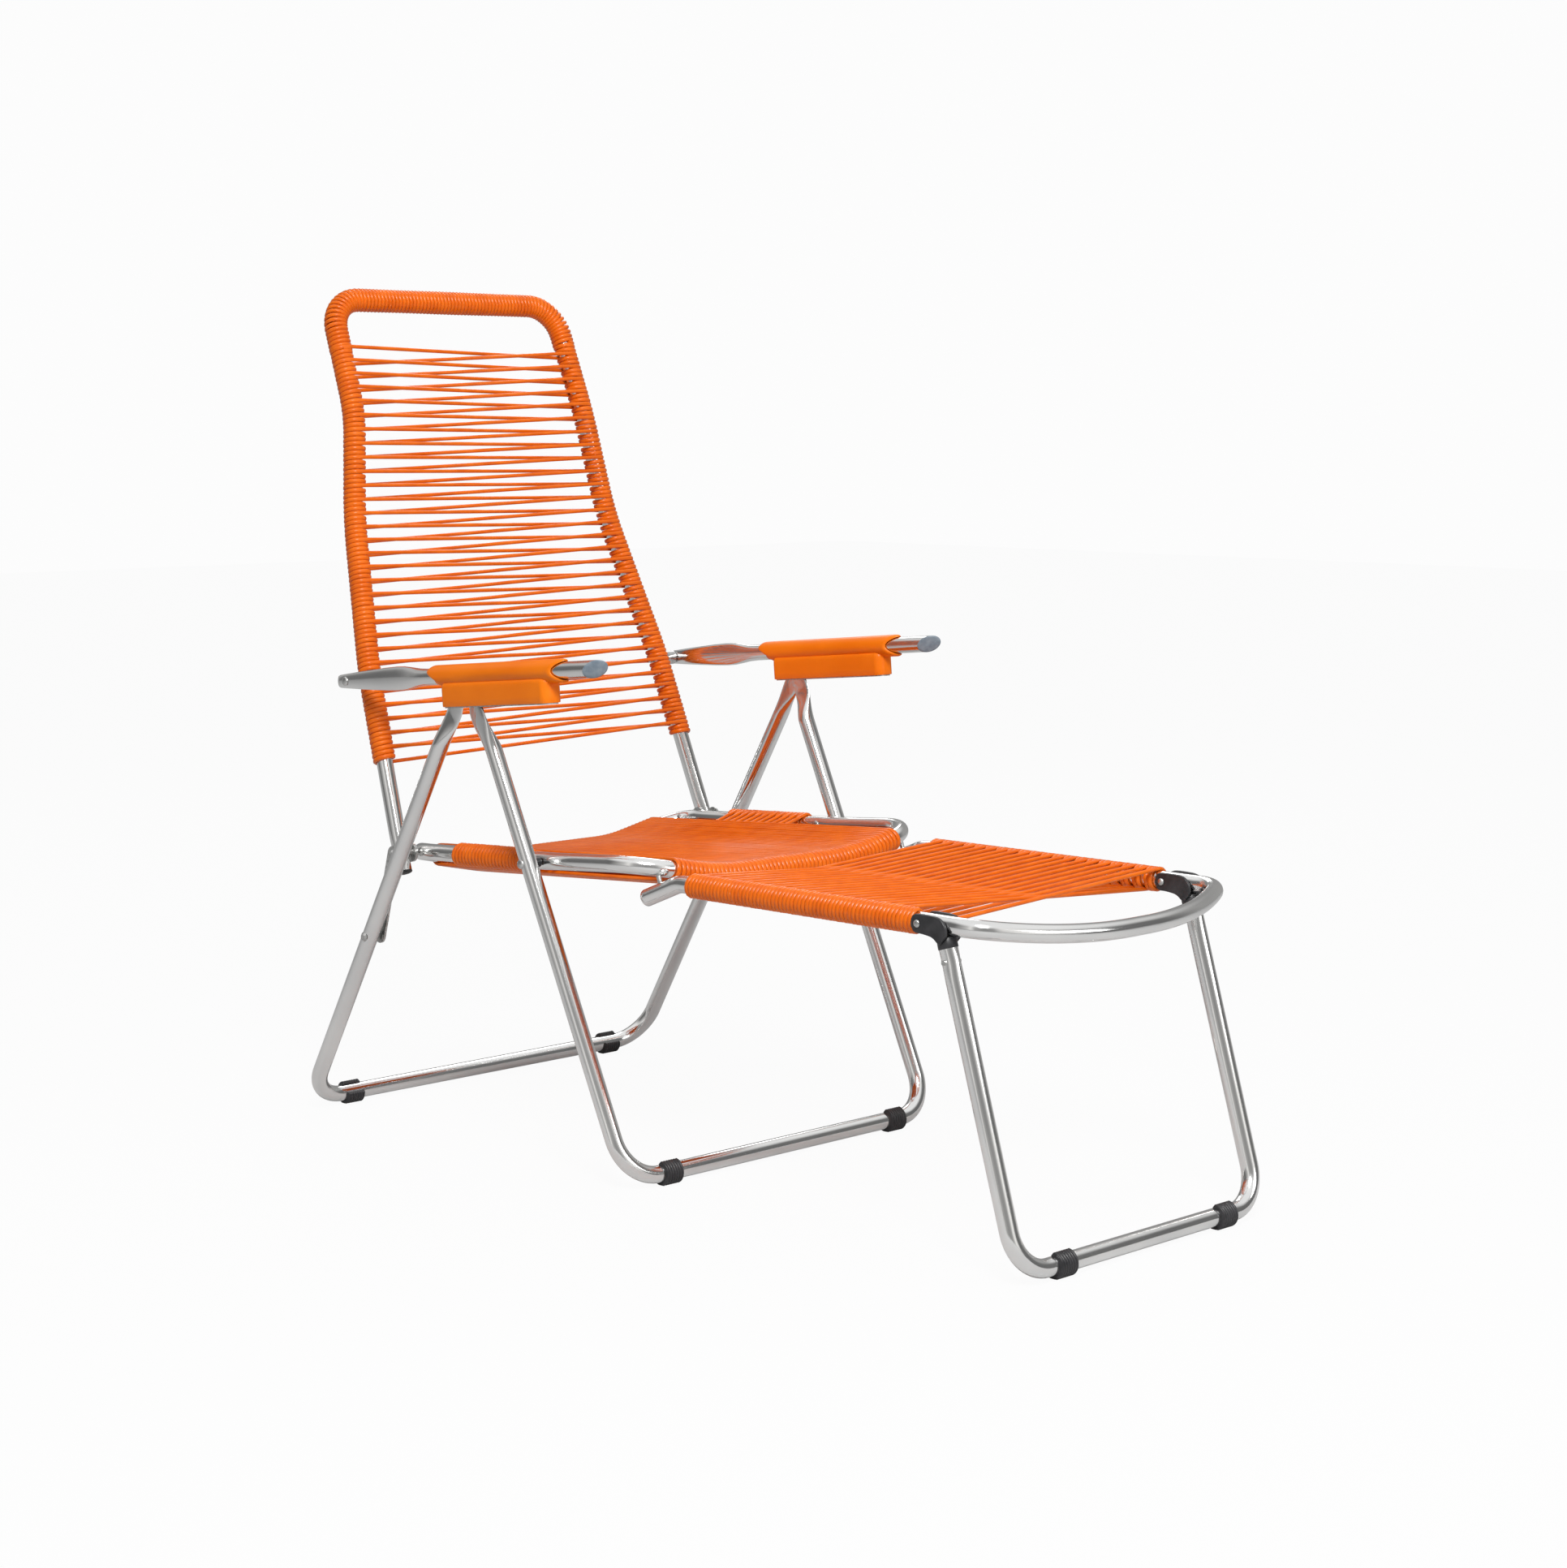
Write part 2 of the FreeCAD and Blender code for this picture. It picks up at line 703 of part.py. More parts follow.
def make_rail_wrap(label, side):
    """Cord wound round a seat rail as one unbroken tube."""
    turns = int(size("seat_wrap_turns"))
    radius = size("tube_radius") + size("cord_radius") + 0.1
    rear_y = size("seat_wrap_rear_y")
    front_y = rear_y - turns * size("seat_wrap_pitch")
    start = place(side * size("seat_rail_x"), rear_y, rail_height(rear_y))
    end = place(side * size("seat_rail_x"), front_y, rail_height(front_y))
    axis = (end - start).normalize()
    out = Vector(side, 0, 0)
    up = axis.cross(out)
    quarter_count = 4 * turns
    rise = (end - start).Length / quarter_count

    def spot(quarter):
        angle = quarter * math.pi / 2
        return start + axis * (rise * quarter) + (out * math.cos(angle) + up * math.sin(angle)) * radius

    def way(quarter):
        angle = quarter * math.pi / 2
        round_way = (up * math.cos(angle) - out * math.sin(angle)) * (radius * math.pi / 2)
        return (round_way + axis * rise).normalize()

    edges = []
    for quarter in range(quarter_count):
        edges += biarc(spot(quarter), way(quarter), spot(quarter + 1), way(quarter + 1))
    path = Part.Wire(edges)
    section = Part.Wire(Part.makeCircle(size("cord_radius"), spot(0), way(0)))
    wrap = new("Part::Feature", label)
    wrap.Shape = path.makePipeShell([section], True, False)
    node(wrap, label)
    points = [spot(quarter / 2) for quarter in range(2 * quarter_count)]
    least = min(
        (points[first] - points[second]).Length
        for first in range(len(points))
        for second in range(first + 5, len(points))
    )
    print(label, "least gap to itself", round(least - 2 * size("cord_radius"), 2), "mm")


# Backrest: an inverted U with a leaning S profile that narrows upwards

def back_wire():
    """Centre line from the left post's foot over the top bar to the right post's foot."""
    points = []
    for name in ("foot", "arm", "waist", "neck", "top"):
        points.append(place(size(f"post_{name}_x"), size(f"post_{name}_y"), size(f"post_{name}_z")))
    bends = [0, 700, 420, 260, size("back_corner")]
    return bent_wire(mirrored(points), bends + bends[::-1])


def make_backrest():
    wire = back_wire()
    half = wire.Length / 2

    def left_length(z):
        return length_where(wire, lambda point: point.z > z, 0, half)

    cutters = []
    for name, side in SIDES:
        post = side * size("post_foot_x")
        reach = (post - HOLE_REACH, post + HOLE_REACH)
        cutters.append(hole(f"post_{name}_foot_hole", reach, size("back_pivot_y"), size("back_pivot_z")))
        post = side * size("post_arm_x")
        reach = (post - HOLE_REACH, post + HOLE_REACH)
        cutters.append(hole(f"post_{name}_arm_hole", reach, size("arm_pivot_y"), size("arm_pivot_z")))
    node(tube("backrest_frame", wire, *cutters), "backrest_frame")

    bottom = left_length(size("back_winding_z"))
    below_gap = left_length(size("arm_pivot_z") - size("back_winding_gap") / 2)
    above_gap = left_length(size("arm_pivot_z") + size("back_winding_gap") / 2)
    top = left_length(size("back_top_winding_z"))
    whole = wire.Length
    sleeves = {
        "back_winding_left": ((bottom, below_gap), (above_gap, top)),
        "back_winding_top": ((top, whole - top),),
        "back_winding_right": ((whole - top, whole - above_gap), (whole - below_gap, whole - bottom)),
    }
    for label, stretches in sleeves.items():
        parts = [sleeve(f"{label}_{number}", stretch(wire, *ends)) for number, ends in enumerate(stretches)]
        node(group(label, *parts), label)

    first = left_length(size("back_cord_first_z"))
    last = bottom + 2 * size("cord_radius")
    count = int(size("back_cord_count"))
    step = (first - last) / (count - 1)
    front_runs = []
    rear_runs = []

    layer = size("tube_radius") + size("cord_radius")

    def post_spot(length, side, depth):
        """A place in the wound layer of a post, depth in front of its axis, on the inner side."""
        point, way = along(wire, length)
        ahead = Vector(0, -way.z, way.y).normalize()
        inset = math.sqrt(max(layer * layer - depth * depth, 0))
        spot = point + ahead * depth
        return Vector(side * (spot.x - inset), spot.y, spot.z)

    for number in range(count):
        level = first - number * step
        front, rear = size("back_cord_front"), -size("back_cord_rear")
        front_runs.append((post_spot(level, -1, front), post_spot(level, 1, rear)))
        if number + 1 < count:
            rear_runs.append((post_spot(level - step / 4, 1, front), post_spot(level - step, -1, rear)))
    cords("back_cords_level", front_runs)
    cords("back_cords_return", rear_runs)

    plugs = []
    foot, way = along(wire, 0)
    for name, side in SIDES:
        start = Vector(side * foot.x, foot.y, foot.z)
        inward = Vector(side * way.x, way.y, way.z)
        stem = rod(f"post_plug_{name}_stem", start, start + inward * 12, "dims.tube_bore - 0.02")
        flange = rod(f"post_plug_{name}_flange", start - inward * 2, start, "dims.tube_radius")
        plugs.append(fuse(f"post_plug_{name}", stem, flange))
    node(group("post_plugs", *plugs), "post_plugs")


def make_back_hinges():
    """Rivets through seat rail, friction washer, post and link plate."""
    at = (size("back_pivot_y"), size("back_pivot_z"))
    inner = rail_face(at[0] + size("rivet_head"), -1) - FACE_ROOM
    washer_inner = rail_face(at[0] - size("hinge_washer"), 1) + FACE_ROOM
    lean = (size("post_foot_x") - size("post_arm_x")) / (size("post_arm_z") - size("post_foot_z"))
    post_x = size("post_foot_x") - lean * (at[1] + size("hinge_washer") - size("post_foot_z"))
    washer_outer = post_x - size("tube_radius") - FACE_ROOM
    rivets = []
    for name, side in SIDES:
        pin = rivet(f"back_hinge_{name}_pin", inner, LINK_OUTER + LINK_ROOM, *at, side)
        washer = rod(
            f"back_hinge_{name}_washer", *across((side * washer_inner, side * washer_outer), *at),
            "dims.hinge_washer",
        )
        rivets.append(fuse(f"back_hinge_{name}", pin, washer))
    node(group("back_hinge_rivets", *rivets), "back_hinge_rivets")


def make_links():
    """Steel plates from the back hinge to the rear legs, in the layer between post and leg."""
    upper = place(0, size("back_pivot_y"), size("back_pivot_z"))
    lower = place(0, size("link_pivot_y"), size("link_pivot_z"))
    way = (lower - upper).normalize()
    for name, side in SIDES:
        inner = Vector(side * LINK_INNER, 0, 0)
        outer = Vector(side * LINK_OUTER, 0, 0)
        ends = [
            rod(f"link_{name}_end", point + inner, point + outer, "dims.link_width / 2")
            for point in (upper, lower)
        ]
        wide = way.cross(Vector(1, 0, 0))
        bar = bind(new("Part::Box", f"link_{name}_bar"), Length="dims.link_width", Width="dims.link_thick")
        bar.Height = (lower - upper).Length
        thickness = way.cross(wide)
        middle = upper + Vector(side * size("link_x"), 0, 0)
        corner = middle - wide * (size("link_width") / 2) - thickness * (size("link_thick") / 2)
        bar.Placement = framed(corner, wide, way)
        plate = fuse(f"link_{name}_plate", bar, *ends)
        reach = Vector(side * HOLE_REACH, 0, 0)
        pivot = rod(
            f"link_{name}_hole", upper + inner - reach, upper + outer + reach,
            "dims.rivet_radius + dims.run_clearance",
        )
        seat = rod(f"link_{name}_seat", lower + inner - reach, lower + outer + reach, "dims.rivet_radius")
        slot_start = upper + way * (0.32 * bar.Height.Value)
        slot_end = upper + way * (0.5 * bar.Height.Value)
        slot = [
            rod(f"link_{name}_slot", point + inner - reach, point + outer + reach, "dims.rivet_radius * 0.8")
            for point in (slot_start, slot_end)
        ]
        node(cut(f"link_plate_{name}", plate, pivot, seat, *slot), f"link_plate_{name}")
        stub = rod(f"link_{name}_stub", lower + inner, lower + outer, "dims.rivet_radius")
        head = cone(
            f"link_{name}_head", lower + inner, lower + inner - Vector(side * size("rivet_dome"), 0, 0),
            "dims.rivet_head", "dims.rivet_head * 0.6",
        )
        node(fuse(f"link_stub_{name}", stub, head), f"link_stub_{name}")


# Armrests: a tube with an oblique capped front, a flattened tail, and a plastic ratchet housing

ARM_FRONT = place(0, size("arm_front_y"), size("arm_front_z"))
ARM_TAIL = place(0, size("arm_pivot_y"), size("arm_pivot_z"))
ARM_WAY = (ARM_TAIL - ARM_FRONT).normalize()
ARM_UP = Vector(1, 0, 0).cross(ARM_WAY)
ARM_CUT_REACH = 60
ARM_TAIL_HALF = 3.0


def arm_spot(x, y, below=0.0):
    """A place on the arm's axis at a depth, or some way below the axis."""
    share = (y - size("arm_front_y")) / (size("arm_pivot_y") - size("arm_front_y"))
    return ARM_FRONT + (ARM_TAIL - ARM_FRONT) * share - ARM_UP * below + Vector(x, 0, 0)


def arm_box(name, x, width, front_y, rear_y, top, bottom):
    """A box along the arm between two depths and two distances below its axis."""
    box = new("Part::Box", name)
    start = arm_spot(x - width / 2, front_y, bottom)
    box.Length = width
    box.Width = (arm_spot(0, rear_y) - arm_spot(0, front_y)).Length
    box.Height = bottom - top
    box.Placement = framed(start, Vector(1, 0, 0), ARM_UP)
    return box


def arm_end_slab(name, x, start, thick):
    """A slab square to the oblique front cut, from start to start + thick along its normal."""
    turn = math.tan(math.radians(size("arm_cut_turn")))
    tilt = math.tan(math.radians(size("arm_cut_tilt")))
    normal = (ARM_WAY * -1 - Vector(turn, 0, 0) - ARM_UP * tilt).normalize()
    slab = new("Part::Box", name)
    slab.Length = slab.Width = 2 * ARM_CUT_REACH
    slab.Height = thick
    middle = arm_spot(x, size("arm_front_y")) + normal * start
    along = normal.cross(ARM_UP).normalize()
    corner = middle - (along + normal.cross(along)) * ARM_CUT_REACH
    slab.Placement = framed(corner, along, normal)
    return slab


def make_arm(name, side):
    x = side * size("arm_x")
    front = arm_spot(x, size("arm_front_y") - ARM_CUT_REACH)
    flat_start = arm_spot(x, size("arm_flat_start_y"))
    bar = rod(f"arm_{name}_bar", front, flat_start, "dims.tube_radius")
    bore = rod(f"arm_{name}_bore", front, flat_start, "dims.tube_bore")
    round_end = bind(new("Part::Circle", f"arm_{name}_round"), Radius="dims.tube_radius")
    round_end.Placement = framed(flat_start, ARM_UP, ARM_WAY)
    sections = [round_end]
    for y, tall, thick in (("arm_flat_wide_y", 16.0, 6.0), ("arm_flat_end_y", 8.5, ARM_TAIL_HALF)):
        section = new("Part::Ellipse", f"arm_{name}_section")
        section.MajorRadius = tall
        section.MinorRadius = thick
        section.Placement = framed(arm_spot(x, size(y)), ARM_UP, ARM_WAY)
        sections.append(section)
    tail = new("Part::Loft", f"arm_{name}_tail")
    tail.Sections = sections
    tail.Solid = True
    tail.Ruled = True
    reach = (x - HOLE_REACH, x + HOLE_REACH)
    eye = hole(f"arm_{name}_eye", reach, size("arm_pivot_y"), size("arm_pivot_z"))
    hollow = cut(f"arm_{name}_hollow", bar, bore)
    whole = fuse(f"arm_{name}_whole", hollow, tail)
    front_cut = arm_end_slab(f"arm_{name}_front_cut", x, 0, 2 * ARM_CUT_REACH)
    node(cut(f"arm_tube_{name}", whole, eye, front_cut), f"arm_tube_{name}")

    plug = rod(f"arm_{name}_plug", front, arm_spot(x, size("sleeve_front_y")), "dims.tube_radius")
    cap = new("Part::Common", f"arm_{name}_cap")
    cap.Base = plug
    cap.Tool = arm_end_slab(f"arm_{name}_cap_slab", x, 0, size("arm_cap_thick"))
    node(cap, f"arm_cap_{name}")

    sleeve_ends = [arm_spot(x, size(end)) for end in ("sleeve_front_y", "sleeve_rear_y")]
    grip = rod(f"arm_{name}_grip", *sleeve_ends, "dims.sleeve_radius")
    width = 2 * size("sleeve_radius")
    wall = size("box_wall")
    front_y, rear_y = size("box_front_y"), size("box_rear_y")
    shell = arm_box(f"arm_{name}_shell", x, width, front_y, rear_y, 0, size("box_depth"))
    room = arm_box(
        f"arm_{name}_room", x, width - 2 * wall, front_y + 2 * wall, rear_y + 2 * wall,
        size("box_roof"), size("box_depth") + wall,
    )
    grip_bore = rod(f"arm_{name}_grip_bore", *sleeve_ends, "dims.sleeve_bore")
    housing = fuse(f"arm_{name}_housing_solid", grip, shell)
    node(cut(f"arm_housing_{name}", housing, grip_bore, room), f"arm_housing_{name}")
    make_rack(name, side, front_y + 2 * wall + 0.5, rear_y - wall)


def make_rack(name, side, front_y, rear_y):
    """The toothed steel strip under the housing's roof, above the ratchet pin."""
    x = side * size("arm_x")
    roof = size("box_roof") + 0.1
    web = 0.8
    strip = arm_box(f"rack_{name}_strip", x, 7, front_y, rear_y, roof, roof + web)
    teeth = []
    pitch = 22.0
    for number in range(6):
        y = size("leg_pivot_y") - pitch / 2 - number * pitch
        teeth.append(
            arm_box(f"rack_{name}_tooth", x, 7, y - 3, y + 3, roof + web, roof + web + size("rack_tooth"))
        )
    node(fuse(f"arm_rack_{name}", strip, *teeth), f"arm_rack_{name}")


def make_arm_hinge(name, side):
    """Rivet and distance bush between post and arm."""
    at = (size("arm_pivot_y"), size("arm_pivot_z"))
    post_inner = size("post_arm_x") - size("tube_radius") - 3 * FACE_ROOM
    post_outer = size("post_arm_x") + size("tube_radius") + 4 * FACE_ROOM
    tail = ARM_TAIL_HALF + 2 * FACE_ROOM
    pin = rivet(f"arm_hinge_{name}_pin", post_inner, size("arm_x") + tail, *at, side)
    bush = rod(
        f"arm_hinge_{name}_bush", *across((side * post_outer, side * (size("arm_x") - tail)), *at),
        "dims.arm_bush",
    )
    node(fuse(f"arm_hinge_{name}", pin, bush), f"arm_hinge_{name}")


# Footrest: two wound rails with bent-down hook ends and a bowed, dropped front

HOOK_WAY = Vector(0, size("hook_end_y") - size("hook_bend_y"), size("hook_end_z") - size("hook_bend_z")).normalize()
HOOK_DOWN = Vector(1, 0, 0).cross(HOOK_WAY) * -1
STUD_ROOT = 9.0


def stud_root(side):
    """The place on the seat tube's axis that lies over a footrest rail."""
    wire = seat_wire()
    length = length_where(wire, lambda point: point.x < size("rest_rail_x"), 0, wire.Length / 4)
    root = along(wire, length)[0]
    return Vector(side * root.x, root.y, root.z)


def stud_bar(name, side, start, end, radius):
    """A bar on the stud's line, square to the hook end, measured down from the seat tube's axis."""
    root = stud_root(side)
    return rod(name, root + HOOK_DOWN * start, root + HOOK_DOWN * end, radius)


def make_footrest_studs():
    """Headed studs under the seat's front corners, on which the slotted hook ends hang."""
    bend = place(0, size("hook_bend_y"), size("hook_bend_z"))
    root = stud_root(0)
    depth = (bend - root).dot(HOOK_DOWN)
    inside = depth - size("tube_bore")
    studs = []
    for name, side in SIDES:
        neck = stud_bar(f"footrest_stud_{name}_neck", side, STUD_ROOT, inside + 2.4, "dims.rivet_radius - 1")
        head = stud_bar(f"footrest_stud_{name}_head", side, inside + 2.2, inside + 4.9, "dims.rivet_head - 1")
        studs.append(fuse(f"footrest_stud_{name}", neck, head))
    node(group("footrest_studs", *studs), "footrest_studs")


def rest_wire():
    """Centre line from the left hook end round the bowed front to the right hook end."""
    rail = size("rest_rail_x")
    left = [
        place(rail, size("hook_end_y"), size("hook_end_z")),
        place(rail, size("hook_bend_y"), size("hook_bend_z")),
        place(rail, size("rest_front_y"), size("rest_front_z")),
        place(0.5 * rail, size("rest_bow_y"), size("rest_front_z") - size("rest_bow_drop")),
    ]
    hook, corner, bow = 45, 40, 380
    radii = [0, hook, corner, bow]
    return bent_wire(mirrored(left), radii + radii[::-1])


def make_footrest():
    wire = rest_wire()
    half = wire.Length / 2
    cutters = []
    for name, side in SIDES:
        rail = side * size("rest_rail_x")
        reach = (rail - HOLE_REACH, rail + HOLE_REACH)
        cutters.append(
            hole(f"rest_{name}_hole", reach, size("rest_pivot_y"), size("rest_pivot_z"), "dims.rivet_radius")
        )
        slot = new("Part::Box", f"rest_{name}_slot")
        slot.Length, slot.Width, slot.Height = 7.0, 80.0, size("tube_radius") + 2
        end = place(rail, size("hook_end_y"), size("hook_end_z")) + HOOK_WAY * 30
        start = end - HOOK_WAY * slot.Width.Value - Vector(slot.Length.Value / 2, 0, 0)
        slot.Placement = framed(start, Vector(1, 0, 0), HOOK_DOWN * -1)
        cutters.append(slot)
    node(tube("footrest_frame", wire, *cutters), "footrest_frame")

    rear = length_where(wire, lambda point: point.y < place(0, size("rest_winding_rear_y"), 0).y, 0, half)
    front = length_where(wire, lambda point: point.y < place(0, size("rest_winding_front_y"), 0).y, 0, half)
    whole = wire.Length
    left_wire = stretch(wire, rear, front)
    right_wire = stretch(wire, whole - front, whole - rear)
    node(sleeve("footrest_winding_left", left_wire), "footrest_winding_left")
    node(sleeve("footrest_winding_right", right_wire), "footrest_winding_right")

    lift = size("tube_radius") + size("cord_radius")
    count = int(size("rest_cord_count"))
    first, last = size("rest_cord_rear_y"), size("rest_cord_front_y")
    rail = size("rest_rail_x")
    slope = (size("rest_pivot_z") - size("hook_bend_z")) / (size("rest_pivot_y") - size("hook_bend_y"))
    top_runs = []
    low_runs = []
    for number in range(count):
        y = first + (last - first) * number / (count - 1)
        z = size("hook_bend_z") + slope * (y - size("hook_bend_y"))
        top_runs.append(across((-rail, rail), y, z + lift))
        if number % 2 == 0:
            low_runs.append(across((-rail, rail), y, z - lift))
    cords("footrest_cords_top", top_runs)
    cords("footrest_cords_low", low_runs)

    rivets = []
    for name, side in SIDES:
        reach = size("head_gap") + size("head_cheek") + 0.3
        rivets.append(
            rivet(
                f"footrest_rivet_{name}", rail - reach, rail + reach,
                size("rest_pivot_y"), size("rest_pivot_z"), side,
            )
        )
    node(group("footrest_rivets", *rivets), "footrest_rivets")


CHEEK_OUTLINE = ((0, 11), (-35, 10.5), (-43, 1), (-44, -8), (-39, -14), (-34, -20.5), (-24, -12.5), (-8, -10))
WEB_OUTLINE = ((-24, -12.5), (-41.5, -11), (-39, -14), (-34, -20.5), (-28, -16))
HEAD_COLLAR = 12.5
SPIGOT = 40.0
LEG_RIVET = 15.0


def make_footrest_leg():
    top = place(size("rest_leg_x_top"), size("rest_leg_top_y"), size("rest_leg_top_z"))
    foot = place(size("rest_leg_x_foot"), size("rest_foot_y"), size("foot_axis_z"))
    bend = size("rest_leg_bend")
    wire = bent_wire(mirrored([top, foot]), [0, bend, bend, 0])
    down = (foot - top).normalize()
    rivet_at = top + down * LEG_RIVET
    cutters = []
    rivets = []
    for name, side in SIDES:
        at = Vector(side * rivet_at.x, rivet_at.y, rivet_at.z)
        reach = Vector(side * (size("tube_radius") + size("rivet_dome")), 0, 0)
        cutters.append(rod(f"rest_leg_{name}_hole", at - reach * 2, at + reach * 2, "dims.rivet_radius - 1"))
        shank = rod(f"rest_leg_{name}_shank", at - reach, at + reach, "dims.rivet_radius - 1")
        rivets.append(shank)
    node(tube("footrest_leg_frame", wire, *cutters), "footrest_leg_frame")
    for name, side in SIDES:
        foot_clip(f"footrest_foot_{name}", side * size("rest_foot_x"), size("rest_foot_y"))
    node(group("footrest_leg_rivets", *rivets), "footrest_leg_rivets")

    pivot = place(0, size("rest_pivot_y"), size("rest_pivot_z"))
    for name, side in SIDES:
        x = side * size("rest_rail_x")
        label = f"hinge_head_{name}"
        pieces = []
        for face in (-1, 1):
            near = x + face * size("head_gap")
            far = near + face * size("head_cheek")
            round_end = rod(
                f"{label}_round", pivot + Vector(near, 0, 0), pivot + Vector(far, 0, 0), "dims.head_radius"
            )
            cheek = new("Part::Feature", f"{label}_cheek")
            cheek.Shape = prism(CHEEK_OUTLINE, near, far, pivot)
            pieces += [round_end, cheek]
        half = size("head_gap") + size("head_cheek")
        web = new("Part::Feature", f"{label}_web")
        web.Shape = prism(WEB_OUTLINE, x - half, x + half, pivot)
        pieces.append(web)
        leg_top = Vector(side * top.x, top.y, top.z)
        inward = Vector(side * down.x, down.y, down.z)
        leg_room = rod(f"{label}_leg_room", leg_top, leg_top + inward * SPIGOT, "dims.tube_radius + 0.02")
        yoke = cut(f"{label}_yoke", fuse(f"{label}_yoke_solid", *pieces), leg_room)
        collar = rod(f"{label}_collar", leg_top - inward * HEAD_COLLAR, leg_top, "dims.tube_radius + 0.4")
        spigot = rod(f"{label}_spigot", leg_top - inward, leg_top + inward * SPIGOT, "dims.tube_bore - 0.02")
        solid = fuse(f"{label}_solid", yoke, collar, spigot)
        bore = rod(
            f"{label}_bore", *across((x - 40, x + 40), size("rest_pivot_y"), size("rest_pivot_z")),
            "dims.rivet_radius + dims.run_clearance",
        )
        at = Vector(side * rivet_at.x, rivet_at.y, rivet_at.z)
        cross = rod(f"{label}_cross", at - Vector(40, 0, 0), at + Vector(40, 0, 0), "dims.rivet_radius - 1")
        room = rod(
            f"{label}_room",
            place(x, size("rest_pivot_y") + 60, size("rest_pivot_z") - 0.6),
            place(x, size("rest_pivot_y") - 90, size("rest_pivot_z") + 0.9),
            "dims.head_gap",
        )
        node(cut(label, solid, bore, cross, room), label)


def prism(outline, near, far, pivot):
    """A plate across X whose outline is given as depth and height from the pivot."""
    points = [Vector(near, pivot.y + y, pivot.z + z) for y, z in outline]
    return Part.Face(Part.makePolygon(points + points[:1])).extrude(Vector(far - near, 0, 0))


make_front_legs()
make_rear_legs()
make_seat()
make_back_hinges()
make_backrest()
make_links()
for side_name, side_sign in SIDES:
    make_arm(side_name, side_sign)
    make_arm_hinge(side_name, side_sign)
make_footrest_studs()
make_footrest()
make_footrest_leg()
doc.recompute()

for item in doc.Objects:
    if {"Invalid", "Error"} & set(item.State):
        raise RuntimeError(f"{item.Label} failed to build")
for label, item in nodes:
    shape = item.Shape
    if shape.isNull() or not shape.isValid() or not shape.Solids:
        raise RuntimeError(f"{label} is not a valid solid")

os.makedirs("parts", exist_ok=True)
box = FreeCAD.BoundBox()
for label, item in nodes:
    item.Shape.exportStep(f"parts/{label}.step")
    box.add(item.Shape.BoundBox)
print(len(nodes), "nodes; box", [round(value, 1) for value in (box.XMin, box.XMax, box.YMin, box.YMax)])
print("height", round(box.ZMin, 2), round(box.ZMax, 2))
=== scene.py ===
"""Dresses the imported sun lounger: polished tube, wound and laced PVC cord, moulded grips, feet and hinges.

Sizes below are in mm, in the chair's own frame: +X is the sitter's left, -Y the front, +Z up, and depths are
measured from the rivet that joins the seat to the front legs. Everything built is turned into metres.
"""
import bpy
import math
import random
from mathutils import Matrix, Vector


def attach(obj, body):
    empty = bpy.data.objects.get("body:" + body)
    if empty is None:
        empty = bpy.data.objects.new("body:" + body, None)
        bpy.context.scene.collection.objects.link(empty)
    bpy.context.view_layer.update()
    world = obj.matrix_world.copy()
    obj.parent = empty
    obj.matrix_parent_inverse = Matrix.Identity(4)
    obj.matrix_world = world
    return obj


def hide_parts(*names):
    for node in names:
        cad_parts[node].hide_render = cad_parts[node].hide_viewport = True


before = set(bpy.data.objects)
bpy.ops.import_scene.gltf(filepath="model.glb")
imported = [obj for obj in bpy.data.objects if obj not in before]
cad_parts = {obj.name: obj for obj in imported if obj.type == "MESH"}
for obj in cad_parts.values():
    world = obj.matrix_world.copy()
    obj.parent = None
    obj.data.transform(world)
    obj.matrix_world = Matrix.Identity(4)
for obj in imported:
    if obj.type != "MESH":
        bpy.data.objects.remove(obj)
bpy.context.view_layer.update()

MM = 0.001
DEPTH_ORIGIN = 134.5
SIDES = (("left", 1), ("right", -1))
X_AXIS = Vector((1, 0, 0))
Y_AXIS = Vector((0, 1, 0))
Z_AXIS = Vector((0, 0, 1))
RANDOM = random.Random(7)

TUBE = 11.0
TUBE_BORE = 9.5
CORD = 2.6
FLAT_CORD = (2.3, 3.15)
LAYER = TUBE + FLAT_CORD[0]

# pivots: depth and height
SEAT_PIVOT = (0.0, 392.9)
BACK_PIVOT = (269.2, 376.6)
ARM_PIVOT = (360.0, 601.9)
LEG_PIVOT = (97.6, 606.0)
REST_PIVOT = (-639.6, 391.6)


def place(x, y, z):
    """A point given by its depth behind the seat rivet."""
    return Vector((x, y + DEPTH_ORIGIN, z))


def smooth(share):
    """Eased step from 0 to 1."""
    share = min(max(share, 0.0), 1.0)
    return share * share * (3 - 2 * share)


def mix(low, high, share):
    """A value part of the way from low to high."""
    return low + (high - low) * share


